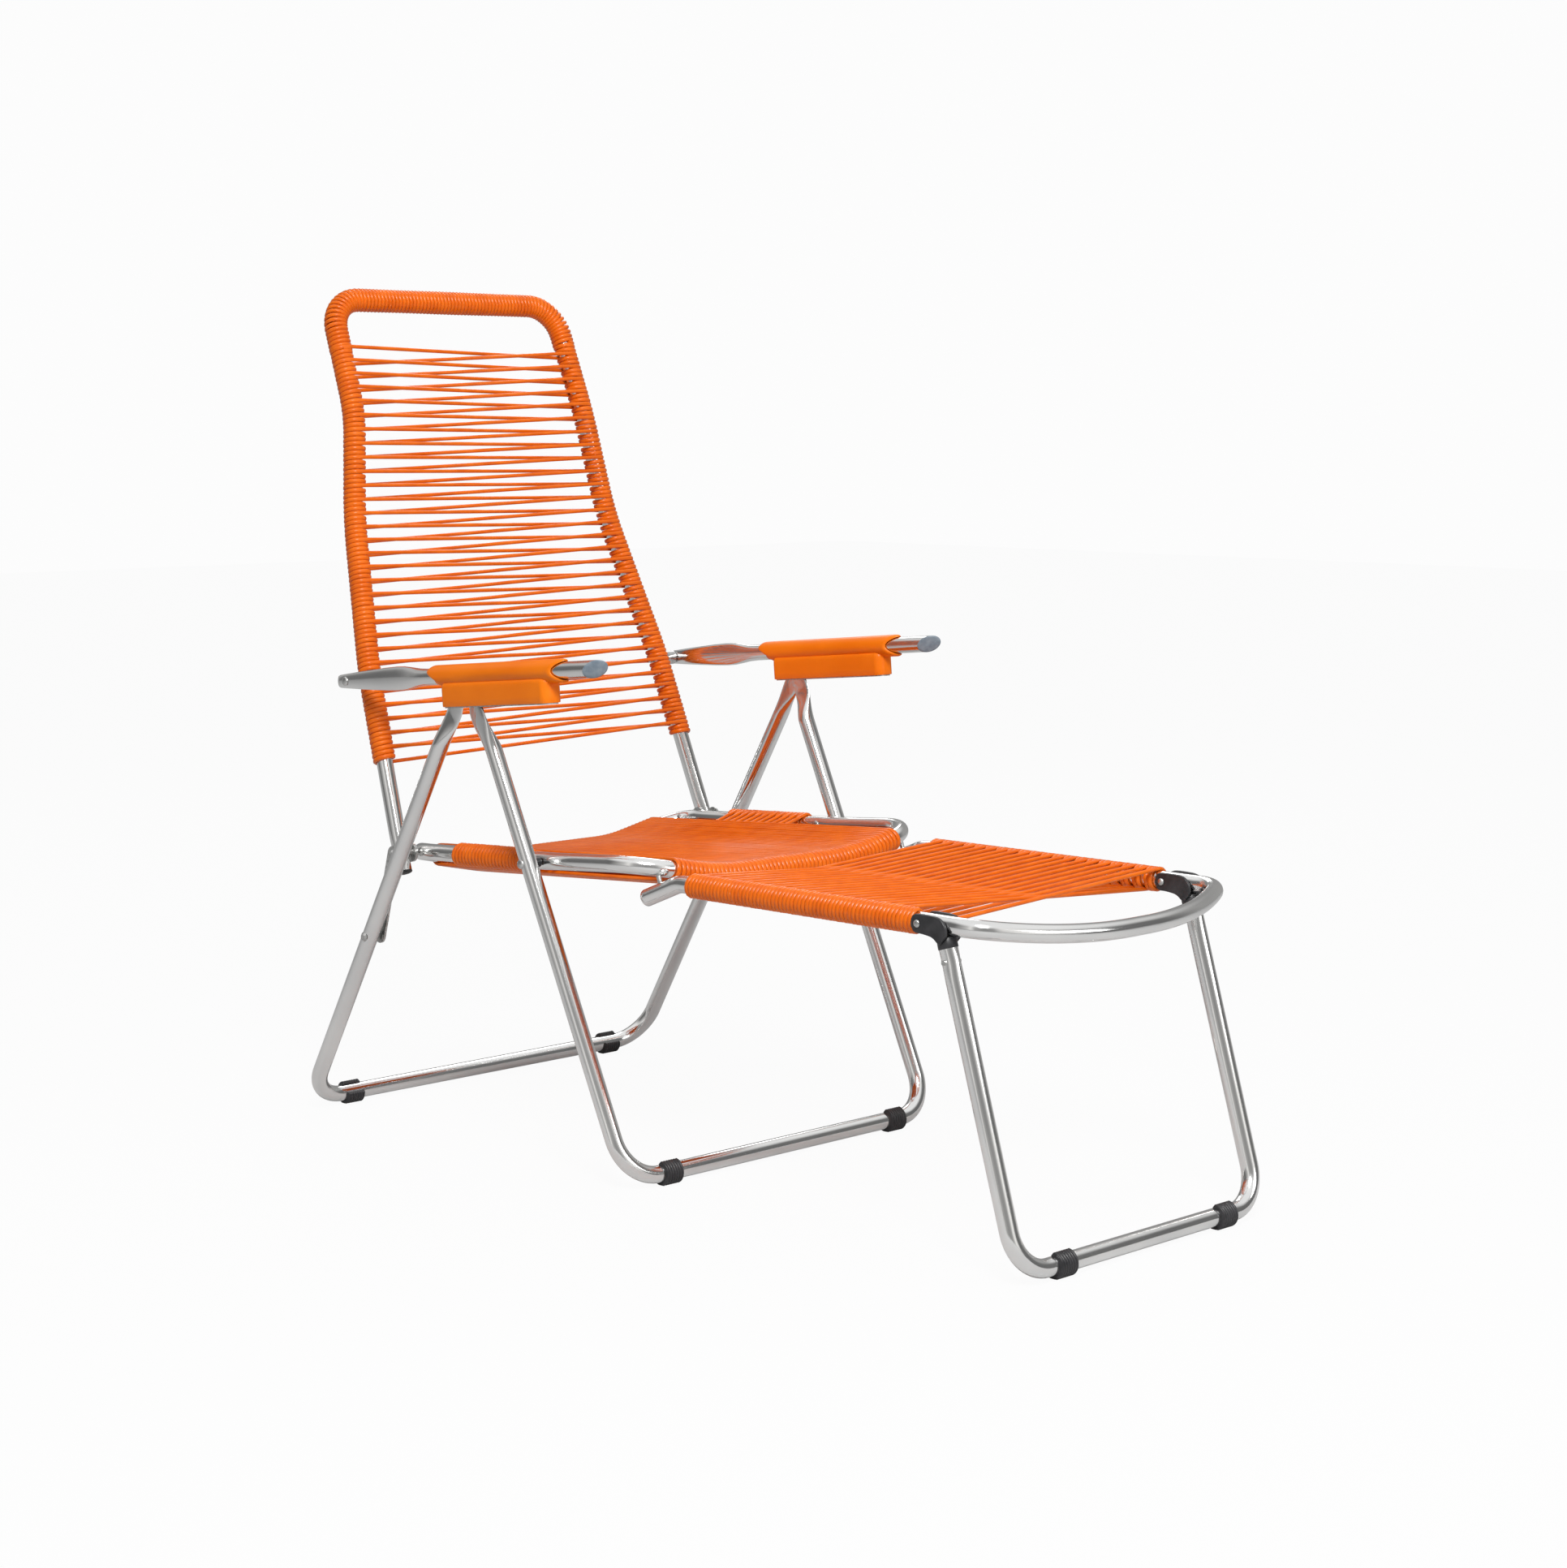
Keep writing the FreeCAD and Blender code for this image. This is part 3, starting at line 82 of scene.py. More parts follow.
class Path:
    """Straight runs joined by tangent arcs, walked by length."""

    def __init__(self, points, radii, closed=False):
        count = len(points)
        corners = []
        for index, (point, radius) in enumerate(zip(points, radii)):
            if not radius:
                corners.append((point, point, None))
                continue
            back = (points[index - 1] - point).normalized()
            ahead = (points[(index + 1) % count] - point).normalized()
            half = back.angle(ahead) / 2
            reach = radius / math.tan(half)
            centre = point + (back + ahead).normalized() * (radius / math.sin(half))
            arc = (centre, point + back * reach, -back, radius, math.pi - 2 * half)
            corners.append((point + back * reach, point + ahead * reach, arc))
        self.runs = []
        for index, (_, end, arc) in enumerate(corners):
            if arc:
                self.runs.append((arc[3] * arc[4], arc, None))
            if index + 1 < count or closed:
                start = corners[(index + 1) % count][0]
                self.runs.append(((start - end).length, None, (end, (start - end).normalized())))
        self.length = sum(run[0] for run in self.runs)
        self.closed = closed

    def spot(self, length):
        """Point and direction at a length along the path."""
        if self.closed:
            length %= self.length
        for span, arc, line in self.runs[:-1]:
            if length <= span:
                break
            length -= span
        else:
            span, arc, line = self.runs[-1]
        if line:
            return line[0] + line[1] * length, line[1].copy()
        centre, start, way, radius = arc[:4]
        turn = length / radius
        out = start - centre
        point = centre + out * math.cos(turn) + way * (radius * math.sin(turn))
        return point, way * math.cos(turn) - out * (math.sin(turn) / radius)

    def nearest(self, point):
        """Length at which the path comes nearest to a point."""
        count = int(self.length)
        return min(range(count), key=lambda length: (self.spot(length)[0] - point).length)

    def where(self, test, low, high):
        """Length at which a test turns true, by halving."""
        for _ in range(40):
            middle = (low + high) / 2
            if test(self.spot(middle)[0]):
                high = middle
            else:
                low = middle
        return low


def mirrored(points):
    """Points followed by their mirror images in the middle plane, in reverse order."""
    return points + [Vector((-point.x, point.y, point.z)) for point in reversed(points)]


def cross_axes(way, reference):
    """Two directions square to a way: the reference made square, and the one beside it."""
    across = (reference - way * reference.dot(way)).normalized()
    return across, way.cross(across).normalized()


# Materials

def material(name, base, metallic=0.0, roughness=0.4):
    """A new material with its Principled shader set."""
    made = bpy.data.materials.new(name)
    made.use_nodes = True
    shader = made.node_tree.nodes["Principled BSDF"]
    shader.inputs["Base Color"].default_value = (*base, 1)
    shader.inputs["Metallic"].default_value = metallic
    shader.inputs["Roughness"].default_value = roughness
    return made, made.node_tree, shader


def noise(tree, source, scale, stretch=(1, 1, 1), detail=4.0):
    """Noise on Object or UV coordinates, stretched along an axis."""
    coordinates = tree.nodes.new("ShaderNodeTexCoord")
    mapping = tree.nodes.new("ShaderNodeMapping")
    mapping.inputs["Scale"].default_value = stretch
    texture = tree.nodes.new("ShaderNodeTexNoise")
    texture.inputs["Scale"].default_value = scale
    texture.inputs["Detail"].default_value = detail
    tree.links.new(coordinates.outputs[source], mapping.inputs["Vector"])
    tree.links.new(mapping.outputs["Vector"], texture.inputs["Vector"])
    return texture.outputs["Fac"]


def tint(tree, shader, factor, low, high, start=0.35, end=0.65):
    """Base colour that runs between two colours with a factor."""
    ramp = tree.nodes.new("ShaderNodeValToRGB")
    ramp.color_ramp.elements[0].position = start
    ramp.color_ramp.elements[0].color = (*low, 1)
    ramp.color_ramp.elements[1].position = end
    ramp.color_ramp.elements[1].color = (*high, 1)
    tree.links.new(factor, ramp.inputs["Fac"])
    tree.links.new(ramp.outputs["Color"], shader.inputs["Base Color"])


def gloss(tree, shader, factor, low, high):
    """Roughness that runs between two values with a factor."""
    span = tree.nodes.new("ShaderNodeMapRange")
    span.inputs["From Min"].default_value = 0.3
    span.inputs["From Max"].default_value = 0.7
    span.inputs["To Min"].default_value = low
    span.inputs["To Max"].default_value = high
    tree.links.new(factor, span.inputs["Value"])
    tree.links.new(span.outputs["Result"], shader.inputs["Roughness"])


def bump(tree, shader, height, strength, distance):
    """Surface relief from a height."""
    relief = tree.nodes.new("ShaderNodeBump")
    relief.inputs["Strength"].default_value = strength
    relief.inputs["Distance"].default_value = distance
    tree.links.new(height, relief.inputs["Height"])
    tree.links.new(relief.outputs["Normal"], shader.inputs["Normal"])


def polished_aluminium():
    """Drawn and polished tube: fine lines along it, faint handling marks."""
    made, tree, shader = material("polished_aluminium", (0.86, 0.86, 0.85), 1.0, 0.14)
    marks = noise(tree, "Object", 9.0, detail=2.0)
    lines = noise(tree, "UV", 8.0, (26, 1.2, 1), 6.0)
    tint(tree, shader, marks, (0.75, 0.75, 0.745), (0.83, 0.83, 0.82))
    gloss(tree, shader, lines, 0.08, 0.19)
    bump(tree, shader, lines, 0.08, 0.0002)
    return made


def pvc_cord():
    """Glossy extruded cord: faint flow lines along it and small changes of colour."""
    made, tree, shader = material("orange_pvc_cord", (0.81, 0.145, 0.003), 0.0, 0.3)
    shader.inputs["Specular IOR Level"].default_value = 0.3
    patches = noise(tree, "Object", 38.0)
    flow = noise(tree, "UV", 5.0, (3, 0.6, 1))
    tint(tree, shader, patches, (0.76, 0.128, 0.002), (0.86, 0.165, 0.004))
    gloss(tree, shader, flow, 0.20, 0.36)
    bump(tree, shader, flow, 0.15, 0.0002)
    return made


def grip_plastic():
    """Satin moulded plastic with a fine grain."""
    made, tree, shader = material("orange_moulded_plastic", (0.95, 0.205, 0.003), 0.0, 0.35)
    shader.inputs["Specular IOR Level"].default_value = 0.25
    patches = noise(tree, "Object", 14.0)
    grain = noise(tree, "Object", 1400.0, detail=2.0)
    tint(tree, shader, patches, (0.92, 0.19, 0.002), (0.98, 0.22, 0.004))
    gloss(tree, shader, patches, 0.30, 0.42)
    bump(tree, shader, grain, 0.12, 0.0001)
    return made


def black_plastic():
    """Matte moulded plastic, rubbed a little grey."""
    made, tree, shader = material("black_moulded_plastic", (0.022, 0.022, 0.025), 0.0, 0.45)
    rubbed = noise(tree, "Object", 60.0)
    grain = noise(tree, "Object", 900.0, detail=2.0)
    tint(tree, shader, rubbed, (0.014, 0.014, 0.016), (0.036, 0.035, 0.038))
    gloss(tree, shader, rubbed, 0.34, 0.52)
    bump(tree, shader, grain, 0.2, 0.0001)
    return made


def cap_plastic():
    """Blue-grey end cap with a leathery grain."""
    made, tree, shader = material("grey_cap_plastic", (0.20, 0.25, 0.30), 0.0, 0.38)
    patches = noise(tree, "Object", 120.0)
    grain = noise(tree, "Object", 1100.0, detail=2.0)
    tint(tree, shader, patches, (0.16, 0.205, 0.25), (0.24, 0.29, 0.335))
    gloss(tree, shader, patches, 0.30, 0.46)
    bump(tree, shader, grain, 0.3, 0.0001)
    return made


def zinc_steel():
    """Zinc-plated steel with a faint spangle."""
    made, tree, shader = material("zinc_steel", (0.55, 0.55, 0.54), 1.0, 0.32)
    spangle = noise(tree, "Object", 170.0, detail=1.0)
    fine = noise(tree, "Object", 900.0)
    tint(tree, shader, spangle, (0.44, 0.44, 0.43), (0.64, 0.64, 0.63))
    gloss(tree, shader, spangle, 0.24, 0.42)
    bump(tree, shader, fine, 0.12, 0.0001)
    return made


ALUMINIUM = polished_aluminium()
PVC = pvc_cord()
GRIP = grip_plastic()
BLACK = black_plastic()
CAP = cap_plastic()
ZINC = zinc_steel()


# Mesh building

class Sheet:
    """Vertices, faces and texture places of one piece, gathered before the mesh is made."""

    def __init__(self):
        self.points = []
        self.faces = []
        self.places = []

    def add(self, points):
        first = len(self.points)
        self.points += points
        return range(first, len(self.points))

    def face(self, corners, places=None):
        self.faces.append(tuple(corners))
        self.places.append(places or [(0.0, 0.0)] * len(corners))

    def skin(self, rings, capped=True, closed=False, lengths=None):
        """Quads between rings of equal count, closed at both ends by a fan."""
        rows = [self.add(ring) for ring in rings]
        count = len(rings[0])
        lengths = lengths or list(range(len(rings) + 1))
        pairs = list(zip(rows, rows[1:]))
        if closed:
            pairs.append((rows[-1], rows[0]))
        for row, (low, high) in enumerate(pairs):
            start, end = lengths[row] * MM, lengths[row + 1] * MM
            for index in range(count):
                after = (index + 1) % count
                left, right = index / count, (index + 1) / count
                self.face(
                    (low[index], low[after], high[after], high[index]),
                    [(left, start), (right, start), (right, end), (left, end)],
                )
        if capped and not closed:
            self.face(list(reversed(rows[0])))
            self.face(rows[-1])
        return rows

    def piece(self, name, finish, body, replaced=(), sharp=35):
        """The finished object, riding on its body."""
        mesh = bpy.data.meshes.new(name)
        mesh.from_pydata([point * MM for point in self.points], [], self.faces)
        layer = mesh.uv_layers.new(name="UVMap")
        flat = [number for places in self.places for place_uv in places for number in place_uv]
        layer.data.foreach_set("uv", flat)
        mesh.polygons.foreach_set("use_smooth", [True] * len(mesh.polygons))
        mesh.validate()
        mesh.update()
        mesh.set_sharp_from_angle(angle=math.radians(sharp))
        mesh.materials.append(finish)
        piece = bpy.data.objects.new(name, mesh)
        bpy.context.scene.collection.objects.link(piece)
        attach(piece, body)
        if replaced:
            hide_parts(*replaced)
        return piece


def oval(centre, wide, thick, across, beside, count):
    """A ring of points with two half widths."""
    ring = []
    for index in range(count):
        turn = 2 * math.pi * index / count
        ring.append(centre + across * (wide * math.cos(turn)) + beside * (thick * math.sin(turn)))
    return ring


TUBE_RING = 32
TUBE_STEP = 5.0


def steps(low, high, step):
    """Even lengths from low to high."""
    count = max(int(math.ceil((high - low) / step)), 1)
    return [low + (high - low) * index / count for index in range(count + 1)]


def add_tube(sheet, path, reference, low=0.0, high=None, flats=(), capped=True):
    """A round tube on a path, squeezed a little beside its rivets."""
    high = path.length if high is None else high
    lengths = steps(low, high, TUBE_STEP)
    rings = []
    if path.closed:
        lengths = lengths[:-1]
    for length in lengths:
        centre, way = path.spot(length)
        across, beside = cross_axes(way, reference)
        squeeze = sum(depth * math.exp(-((length - at) / reach) ** 2) for at, reach, depth in flats)
        rings.append(oval(centre, TUBE + 0.4 * squeeze, TUBE - squeeze, across, beside, TUBE_RING))
    sheet.skin(rings, capped, path.closed, lengths + [high])


CORD_RING = 10


def add_cord(sheet, route, flat=FLAT_CORD):
    """A cord through close places; where a place has an outward way, it is pressed flat on its tube."""
    ways = []
    for index in range(len(route)):
        before = route[max(index - 1, 0)][0]
        after = route[min(index + 1, len(route) - 1)][0]
        ways.append((after - before).normalized())
    across = cross_axes(ways[0], route[0][1] or Z_AXIS)[0]
    rings = []
    lengths = [0.0]
    for index, ((point, outward), way) in enumerate(zip(route, ways)):
        thick, wide = flat if outward else (CORD, CORD)
        if outward:
            across = outward if outward.dot(across) > 0 else -outward
        across, beside = cross_axes(way, across)
        rings.append(oval(point, thick, wide, across, beside, CORD_RING))
        if index:
            lengths.append(lengths[-1] + (point - route[index - 1][0]).length)
    sheet.skin(rings, lengths=lengths + [lengths[-1]])


def add_lathe(sheet, centre, axis, profile, count=28):
    """A turned form: profile gives distances along the axis and radii."""
    across, beside = cross_axes(axis, Vector((0.13, 0.4, 0.9)))
    rings = [oval(centre + axis * along, radius, radius, across, beside, count) for along, radius in profile]
    sheet.skin(rings)


# Frame tubes

FOOT_Z = 15.0
LEG_BEND = 54.0
LEG_STEP = 3.0
TONGUE_EYE = 5.9
TONGUE_LENGTH = 36.0
TONGUE_WIDE = 14.4
TONGUE_FLARE = 26.0
TONGUE_THICK = 2.2
TONGUE_NECK = 85.0


def build_legs(name, body, foot_y, top_x, foot_x, tongue_x, node):
    """A U of tube whose upper ends are pinched flat and pierced by the ratchet pin."""
    top = place(top_x, *LEG_PIVOT)
    foot = place(foot_x, foot_y, FOOT_Z)
    path = Path(mirrored([top, foot]), [0, LEG_BEND, LEG_BEND, 0])
    normal = (foot - top).cross(X_AXIS).normalized()
    lengths = steps(-TONGUE_EYE, path.length + TONGUE_EYE, LEG_STEP)
    rings = []
    for length in lengths:
        from_pin = min(length, path.length - length)
        side = 1 if length < path.length / 2 else -1
        centre, way = path.spot(min(max(length, 0.0), path.length))
        if from_pin < 0:
            centre = centre + way * (from_pin * side)
        across, beside = cross_axes(way, normal)
        along_neck = (from_pin - TONGUE_LENGTH) / (TONGUE_NECK - TONGUE_LENGTH)
        pinch = 1 - smooth(along_neck)
        lean = (tongue_x - abs(centre.x)) * smooth(1 - along_neck)
        centre = centre + X_AXIS * (side * lean)
        wide = mix(TUBE, TONGUE_WIDE, pinch)
        thick = mix(TUBE, TONGUE_THICK, pinch)
        if from_pin < TONGUE_LENGTH:
            wide = mix(TONGUE_EYE, TONGUE_WIDE, min(max(from_pin, 0) / TONGUE_FLARE, 1.0))
        if from_pin < 0:
            wide = TONGUE_EYE * math.sqrt(max(1 - (from_pin / TONGUE_EYE) ** 2, 0.01))
        rings.append(oval(centre, wide, thick, across, beside, TUBE_RING))
    sheet = Sheet()
    sheet.skin(rings, lengths=lengths + [path.length])
    sheet.piece(name, ALUMINIUM, body, [node])


FRONT_FOOT_Y = -183.0
REAR_FOOT_Y = 453.0
# half widths at the top, at the foot and at the flattened end
FRONT_LEG_X = (277.0, 268.5, 285.5)
REAR_LEG_X = (302.0, 302.0, 298.5)
build_legs("front_leg_tube", "front_legs", FRONT_FOOT_Y, *FRONT_LEG_X, "front_leg_frame")
build_legs("rear_leg_tube", "rear_legs", REAR_FOOT_Y, *REAR_LEG_X, "rear_leg_frame")

SEAT_RAIL_X = 244.0
SEAT_REAR_Y = 293.0
SEAT_FRONT_Y = -184.0
SEAT_FRONT_Z = 408.5
SEAT_BOW_Y = -190.0
SEAT_BOW_DROP = 28.0
SEAT_REAR_DROP = 29.0
SEAT_FRONT_BENDS = [2500, 57, 420]
SEAT_REAR_BENDS = [42, 260, 260, 42]
SEAT_SLOPE = (BACK_PIVOT[1] - SEAT_PIVOT[1]) / BACK_PIVOT[0]
SEAT_REAR_Z = SEAT_PIVOT[1] + SEAT_SLOPE * SEAT_REAR_Y


def seat_path():
    """The seat's loop, from the left rail to the front and round."""
    front = [
        place(SEAT_RAIL_X, *SEAT_PIVOT),
        place(SEAT_RAIL_X, SEAT_FRONT_Y, SEAT_FRONT_Z),
        place(0.49 * SEAT_RAIL_X, SEAT_BOW_Y, SEAT_FRONT_Z - SEAT_BOW_DROP),
    ]
    rear = [
        place(-SEAT_RAIL_X, SEAT_REAR_Y, SEAT_REAR_Z),
        place(-0.45 * SEAT_RAIL_X, SEAT_REAR_Y, SEAT_REAR_Z - SEAT_REAR_DROP),
    ]
    points = mirrored(front) + rear + [Vector((-point.x, point.y, point.z)) for point in reversed(rear)]
    return Path(points, SEAT_FRONT_BENDS + SEAT_FRONT_BENDS[::-1] + SEAT_REAR_BENDS, closed=True)


SEAT = seat_path()


def build_seat_tube():
    """The seat's loop, squeezed a little at its four rivets."""
    flats = []
    for y, z in (SEAT_PIVOT, BACK_PIVOT):
        flats += [(SEAT.nearest(place(side * SEAT_RAIL_X, y, z)), 16.0, 1.2) for _, side in SIDES]
    sheet = Sheet()
    add_tube(sheet, SEAT, Z_AXIS, flats=flats)
    sheet.piece("seat_tube", ALUMINIUM, "seat", ["seat_frame"])


build_seat_tube()

POST = (
    (273.5, 264.5, 353.0),
    (256.5, 359.5, 610.0),
    (223.5, 434.0, 812.0),
    (203.0, 459.0, 958.0),
    (197.0, 521.0, 1115.0),
)
POST_BENDS = [0, 700, 420, 260, 48]
BACK = Path(mirrored([place(*point) for point in POST]), POST_BENDS + POST_BENDS[::-1])


def back_length(z):
    """Length up the left post to a height."""
    return BACK.where(lambda point: point.z > z, 0, BACK.length / 2)


def build_back_tube():
    """The backrest's U, squeezed a little at its four rivets."""
    sheet = Sheet()
    flats = []
    for at in (back_length(BACK_PIVOT[1]), back_length(ARM_PIVOT[1])):
        flats += [(at, 15.0, 1.2), (BACK.length - at, 15.0, 1.2)]
    add_tube(sheet, BACK, Y_AXIS, flats=flats)
    sheet.piece("back_tube", ALUMINIUM, "backrest", ["backrest_frame"])


build_back_tube()

REST_RAIL_X = 214.0
HOOK_END = (-162.0, 361.5)
HOOK_BEND = (-224.5, 386.5)
REST_FRONT = (-714.0, 392.4)
REST_BOW_Y = -768.0
REST_BOW_DROP = 15.0
REST_BENDS = [0, 45, 40, 380]
REST = Path(
    mirrored([
        place(REST_RAIL_X, *HOOK_END),
        place(REST_RAIL_X, *HOOK_BEND),
        place(REST_RAIL_X, *REST_FRONT),
        place(0.5 * REST_RAIL_X, REST_BOW_Y, REST_FRONT[1] - REST_BOW_DROP),
    ]),
    REST_BENDS + REST_BENDS[::-1],
)
TAIL_DEPTH = 40.0


def build_rest_tube():
    """The footrest's tube, hollow at its hook ends."""
    sheet = Sheet()
    lengths = steps(0.0, REST.length, TUBE_STEP)
    rings = []

    def ring(length, radius):
        centre, way = REST.spot(length)
        across, beside = cross_axes(way, Z_AXIS)
        return oval(centre, radius, radius, across, beside, TUBE_RING)

    for depth in (TAIL_DEPTH, 20.0, 0.8):
        rings.append(ring(depth, TUBE_BORE))
    rings.append(ring(0.0, TUBE_BORE + 0.4))
    rings.append(ring(0.0, TUBE - 0.4))
    rings += [ring(length, TUBE) for length in [0.6] + lengths[1:-1] + [REST.length - 0.6]]
    rings.append(ring(REST.length, TUBE - 0.4))
    rings.append(ring(REST.length, TUBE_BORE + 0.4))
    for depth in (0.8, 20.0, TAIL_DEPTH):
        rings.append(ring(REST.length - depth, TUBE_BORE))
    sheet.skin(rings, lengths=[TUBE_STEP * index for index in range(len(rings) + 1)])
    sheet.piece("footrest_tube", ALUMINIUM, "footrest", ["footrest_frame"])


build_rest_tube()

REST_LEG_TOP = (-675.0, 366.2)
REST_FOOT_Y = -783.0
REST_LEG = Path(
    mirrored([place(215.0, *REST_LEG_TOP), place(214.5, REST_FOOT_Y, FOOT_Z)]), [0, 48, 48, 0]
)
LEG_RIVET = 15.0


def build_rest_leg():
    """The footrest's U, squeezed a little at the rivets of its hinge heads."""
    sheet = Sheet()
    down = REST_LEG.spot(0.0)[1]
    flats = [(at, 12.0, 0.8) for at in (LEG_RIVET, REST_LEG.length - LEG_RIVET)]
    add_tube(sheet, REST_LEG, down.cross(X_AXIS), flats=flats)
    sheet.piece("footrest_leg_tube", ALUMINIUM, "footrest_leg", ["footrest_leg_frame"])


build_rest_leg()


# Cord: lacing that winds on two tubes in turn, and loops round the seat's bars

TURN_POINTS = 16
LACE_TURNS = 2.5


def wound(path, length, turn, side, face, wobble=0.0):
    """A place in the wound layer: turn 0 is the back of the tube, then outside, face side, inside."""
    centre, way = path.spot(length)
    ahead, _ = cross_axes(way, face)
    inward = way.cross(ahead)
    if inward.x > 0:
        inward = -inward
    outward = ahead * -math.cos(turn) - inward * math.sin(turn)
    spot = centre + outward * (LAYER + wobble)
    return Vector((side * spot.x, spot.y, spot.z)), Vector((side * outward.x, outward.y, outward.z))


def coil(path, start, cover, turns, side, face):
    """A few turns of cord on one tube, from its back to its face side."""
    wobble = RANDOM.uniform(-0.35, 0.35)
    points = int(turns * TURN_POINTS)
    places = []
    for index in range(points + 1):
        share = index / points
        lift = 0.12 * math.sin(9 * share + wobble * 8) + 0.1
        length = start + (cover + wobble) * share
        places.append(wound(path, length, 2 * math.pi * turns * share, side, face, lift))
    return places


def taut(start, end):
    """Places of a cord that crosses straight from one tube to the other."""
    return [start.lerp(end, share) for share in (0.025, 0.1, 0.3, 0.5, 0.7, 0.9, 0.975)]


def lace(path, low, high, count, turns, face, crossing=taut, extra=0):
    """One cord wound on the left and the right tube in turn, and the length its turns cover each time."""
    period = (high - low) / count
    cover = period * turns / (turns + 0.5)
    route = []
    for half in range(-1, 2 * count + 1 + extra):
        side = 1 if half % 2 else -1
        start = low + (half // 2) * period + (cover if side == 1 else 0)
        places = coil(path, start, cover, turns, side, face)
        if route:
            route += [(spot, None) for spot in crossing(route[-1][0], places[0][0])]
        route += places
    return route, cover


BACK_FIRST_Z = 496.0
BACK_LAST_Z = 1030.0
BACK_SPANS = 29
TOP_PITCH = 6.05
TOP_CORD = (2.65, 2.95)


def build_back_lacing():
    """The cord laced from post to post, and the winding on the top bar."""
    low, high = back_length(BACK_FIRST_Z), back_length(BACK_LAST_Z)
    sheet = Sheet()
    route, cover = lace(BACK, low, high, BACK_SPANS, LACE_TURNS, -Y_AXIS, extra=1)
    add_cord(sheet, route)
    nodes = ["back_winding_left", "back_winding_right", "back_cords_level", "back_cords_return"]
    sheet.piece("back_lacing", PVC, "backrest", nodes)
    top = Sheet()
    start = high + 2 * cover - TOP_PITCH / 2
    end = BACK.length - high - cover + TOP_PITCH / 2
    route = []
    for index, length in enumerate(steps(start, end, TOP_PITCH / TURN_POINTS)):
        centre, way = BACK.spot(length)
        across, beside = cross_axes(way, -Y_AXIS)
        turn = 2 * math.pi * index / TURN_POINTS
        outward = across * math.cos(turn) + beside * math.sin(turn)
        route.append((centre + outward * (TUBE + TOP_CORD[0] + 0.15 * math.sin(index * 0.013)), outward))
    add_cord(top, route, TOP_CORD)
    top.piece("back_top_winding", PVC, "backrest", ["back_winding_top"])


build_back_lacing()

REST_WIND_REAR = -249.0
REST_WIND_FRONT = -612.0
REST_SPANS = 19


def build_rest_lacing():
    """The cord laced from rail to rail of the footrest."""
    half = REST.length / 2
    low = REST.where(lambda point: point.y < place(0, REST_WIND_REAR, 0).y, 0, half)
    high = REST.where(lambda point: point.y < place(0, REST_WIND_FRONT, 0).y, 0, half)
    sheet = Sheet()
    add_cord(sheet, lace(REST, low, high, REST_SPANS, LACE_TURNS, Z_AXIS)[0])
    nodes = ["footrest_winding_left", "footrest_winding_right", "footrest_cords_top", "footrest_cords_low"]
    sheet.piece("footrest_lacing", PVC, "footrest", nodes)


build_rest_lacing()

SEAT_WIND_X = 192.5
SEAT_LOOPS = 56
SEAT_CORD = (2.35, 3.3)


def seat_bar(low, high):
    """Places along a bar of the seat, in order of X, with their directions."""
    found = [SEAT.spot(length) for length in steps(low, high, 2.0)]
    return sorted(found, key=lambda spot: spot[0].x)


def bar_at(bar, x):
    """Place and direction on a bar at a distance from the middle plane."""
    for (low, way), (high, _) in zip(bar, bar[1:]):
        if low.x <= x <= high.x:
            return low + (high - low) * ((x - low.x) / max(high.x - low.x, 1e-6)), way
    return bar[-1]


def seat_bars():
    """The wound parts of the seat's front and rear bars."""
    reach = SEAT_WIND_X + 6
    half = SEAT.length / 2
    front = seat_bar(
        SEAT.where(lambda point: point.x < reach, 0, half),
        SEAT.where(lambda point: point.x < -reach, 0, half),
    )
    rear = seat_bar(
        SEAT.where(lambda point: point.x > -reach, half, SEAT.length),
        SEAT.where(lambda point: point.x > reach, half, SEAT.length),
    )
    return front, rear


FRONT_BAR, REAR_BAR = seat_bars()


def half_turn(bar, x, outward, downward):
    """Half a turn of cord round a bar, on its outward side, from top to bottom or back."""
    centre, way = bar_at(bar, x)
    up, _ = cross_axes(way, Z_AXIS)
    out, _ = cross_axes(way, outward)
    points = []
    for index in range(11):
        turn = math.pi * index / 10
        turn = turn if downward else math.pi - turn
        outward = up * math.cos(turn) + out * math.sin(turn)
        points.append((centre + outward * LAYER, outward))
    return points


def seat_run(start, end, sag):
    """Places of a cord that runs from bar to bar."""
    places = []
    for share in (0.03, 0.25, 0.5, 0.75, 0.97):
        places.append((start.lerp(end, share) + Z_AXIS * (sag * math.sin(math.pi * share)), None))
    return places


def build_seat_lacing():
    """Loops from the front bar over the top to the rear bar and back underneath."""
    route = []
    for loop in range(SEAT_LOOPS):
        x = -SEAT_WIND_X + 2 * SEAT_WIND_X * loop / (SEAT_LOOPS - 1)
        x_after = x + SEAT_WIND_X / (SEAT_LOOPS - 1)
        route += half_turn(FRONT_BAR, x, -Y_AXIS, downward=False)
        rear = half_turn(REAR_BAR, x, Y_AXIS, downward=True)
        route += seat_run(route[-1][0], rear[0][0], RANDOM.uniform(-0.5, 0.2))
        route += rear
        front_bottom = half_turn(FRONT_BAR, min(x_after, SEAT_WIND_X), -Y_AXIS, downward=False)[0][0]
        route += seat_run(rear[-1][0], front_bottom, 0.0)
    sheet = Sheet()
    add_cord(sheet, route, SEAT_CORD)
    nodes = ["seat_front_winding", "seat_rear_winding", "seat_cords_top", "seat_cords_bottom"]
    sheet.piece("seat_lacing", PVC, "seat", nodes)


build_seat_lacing()

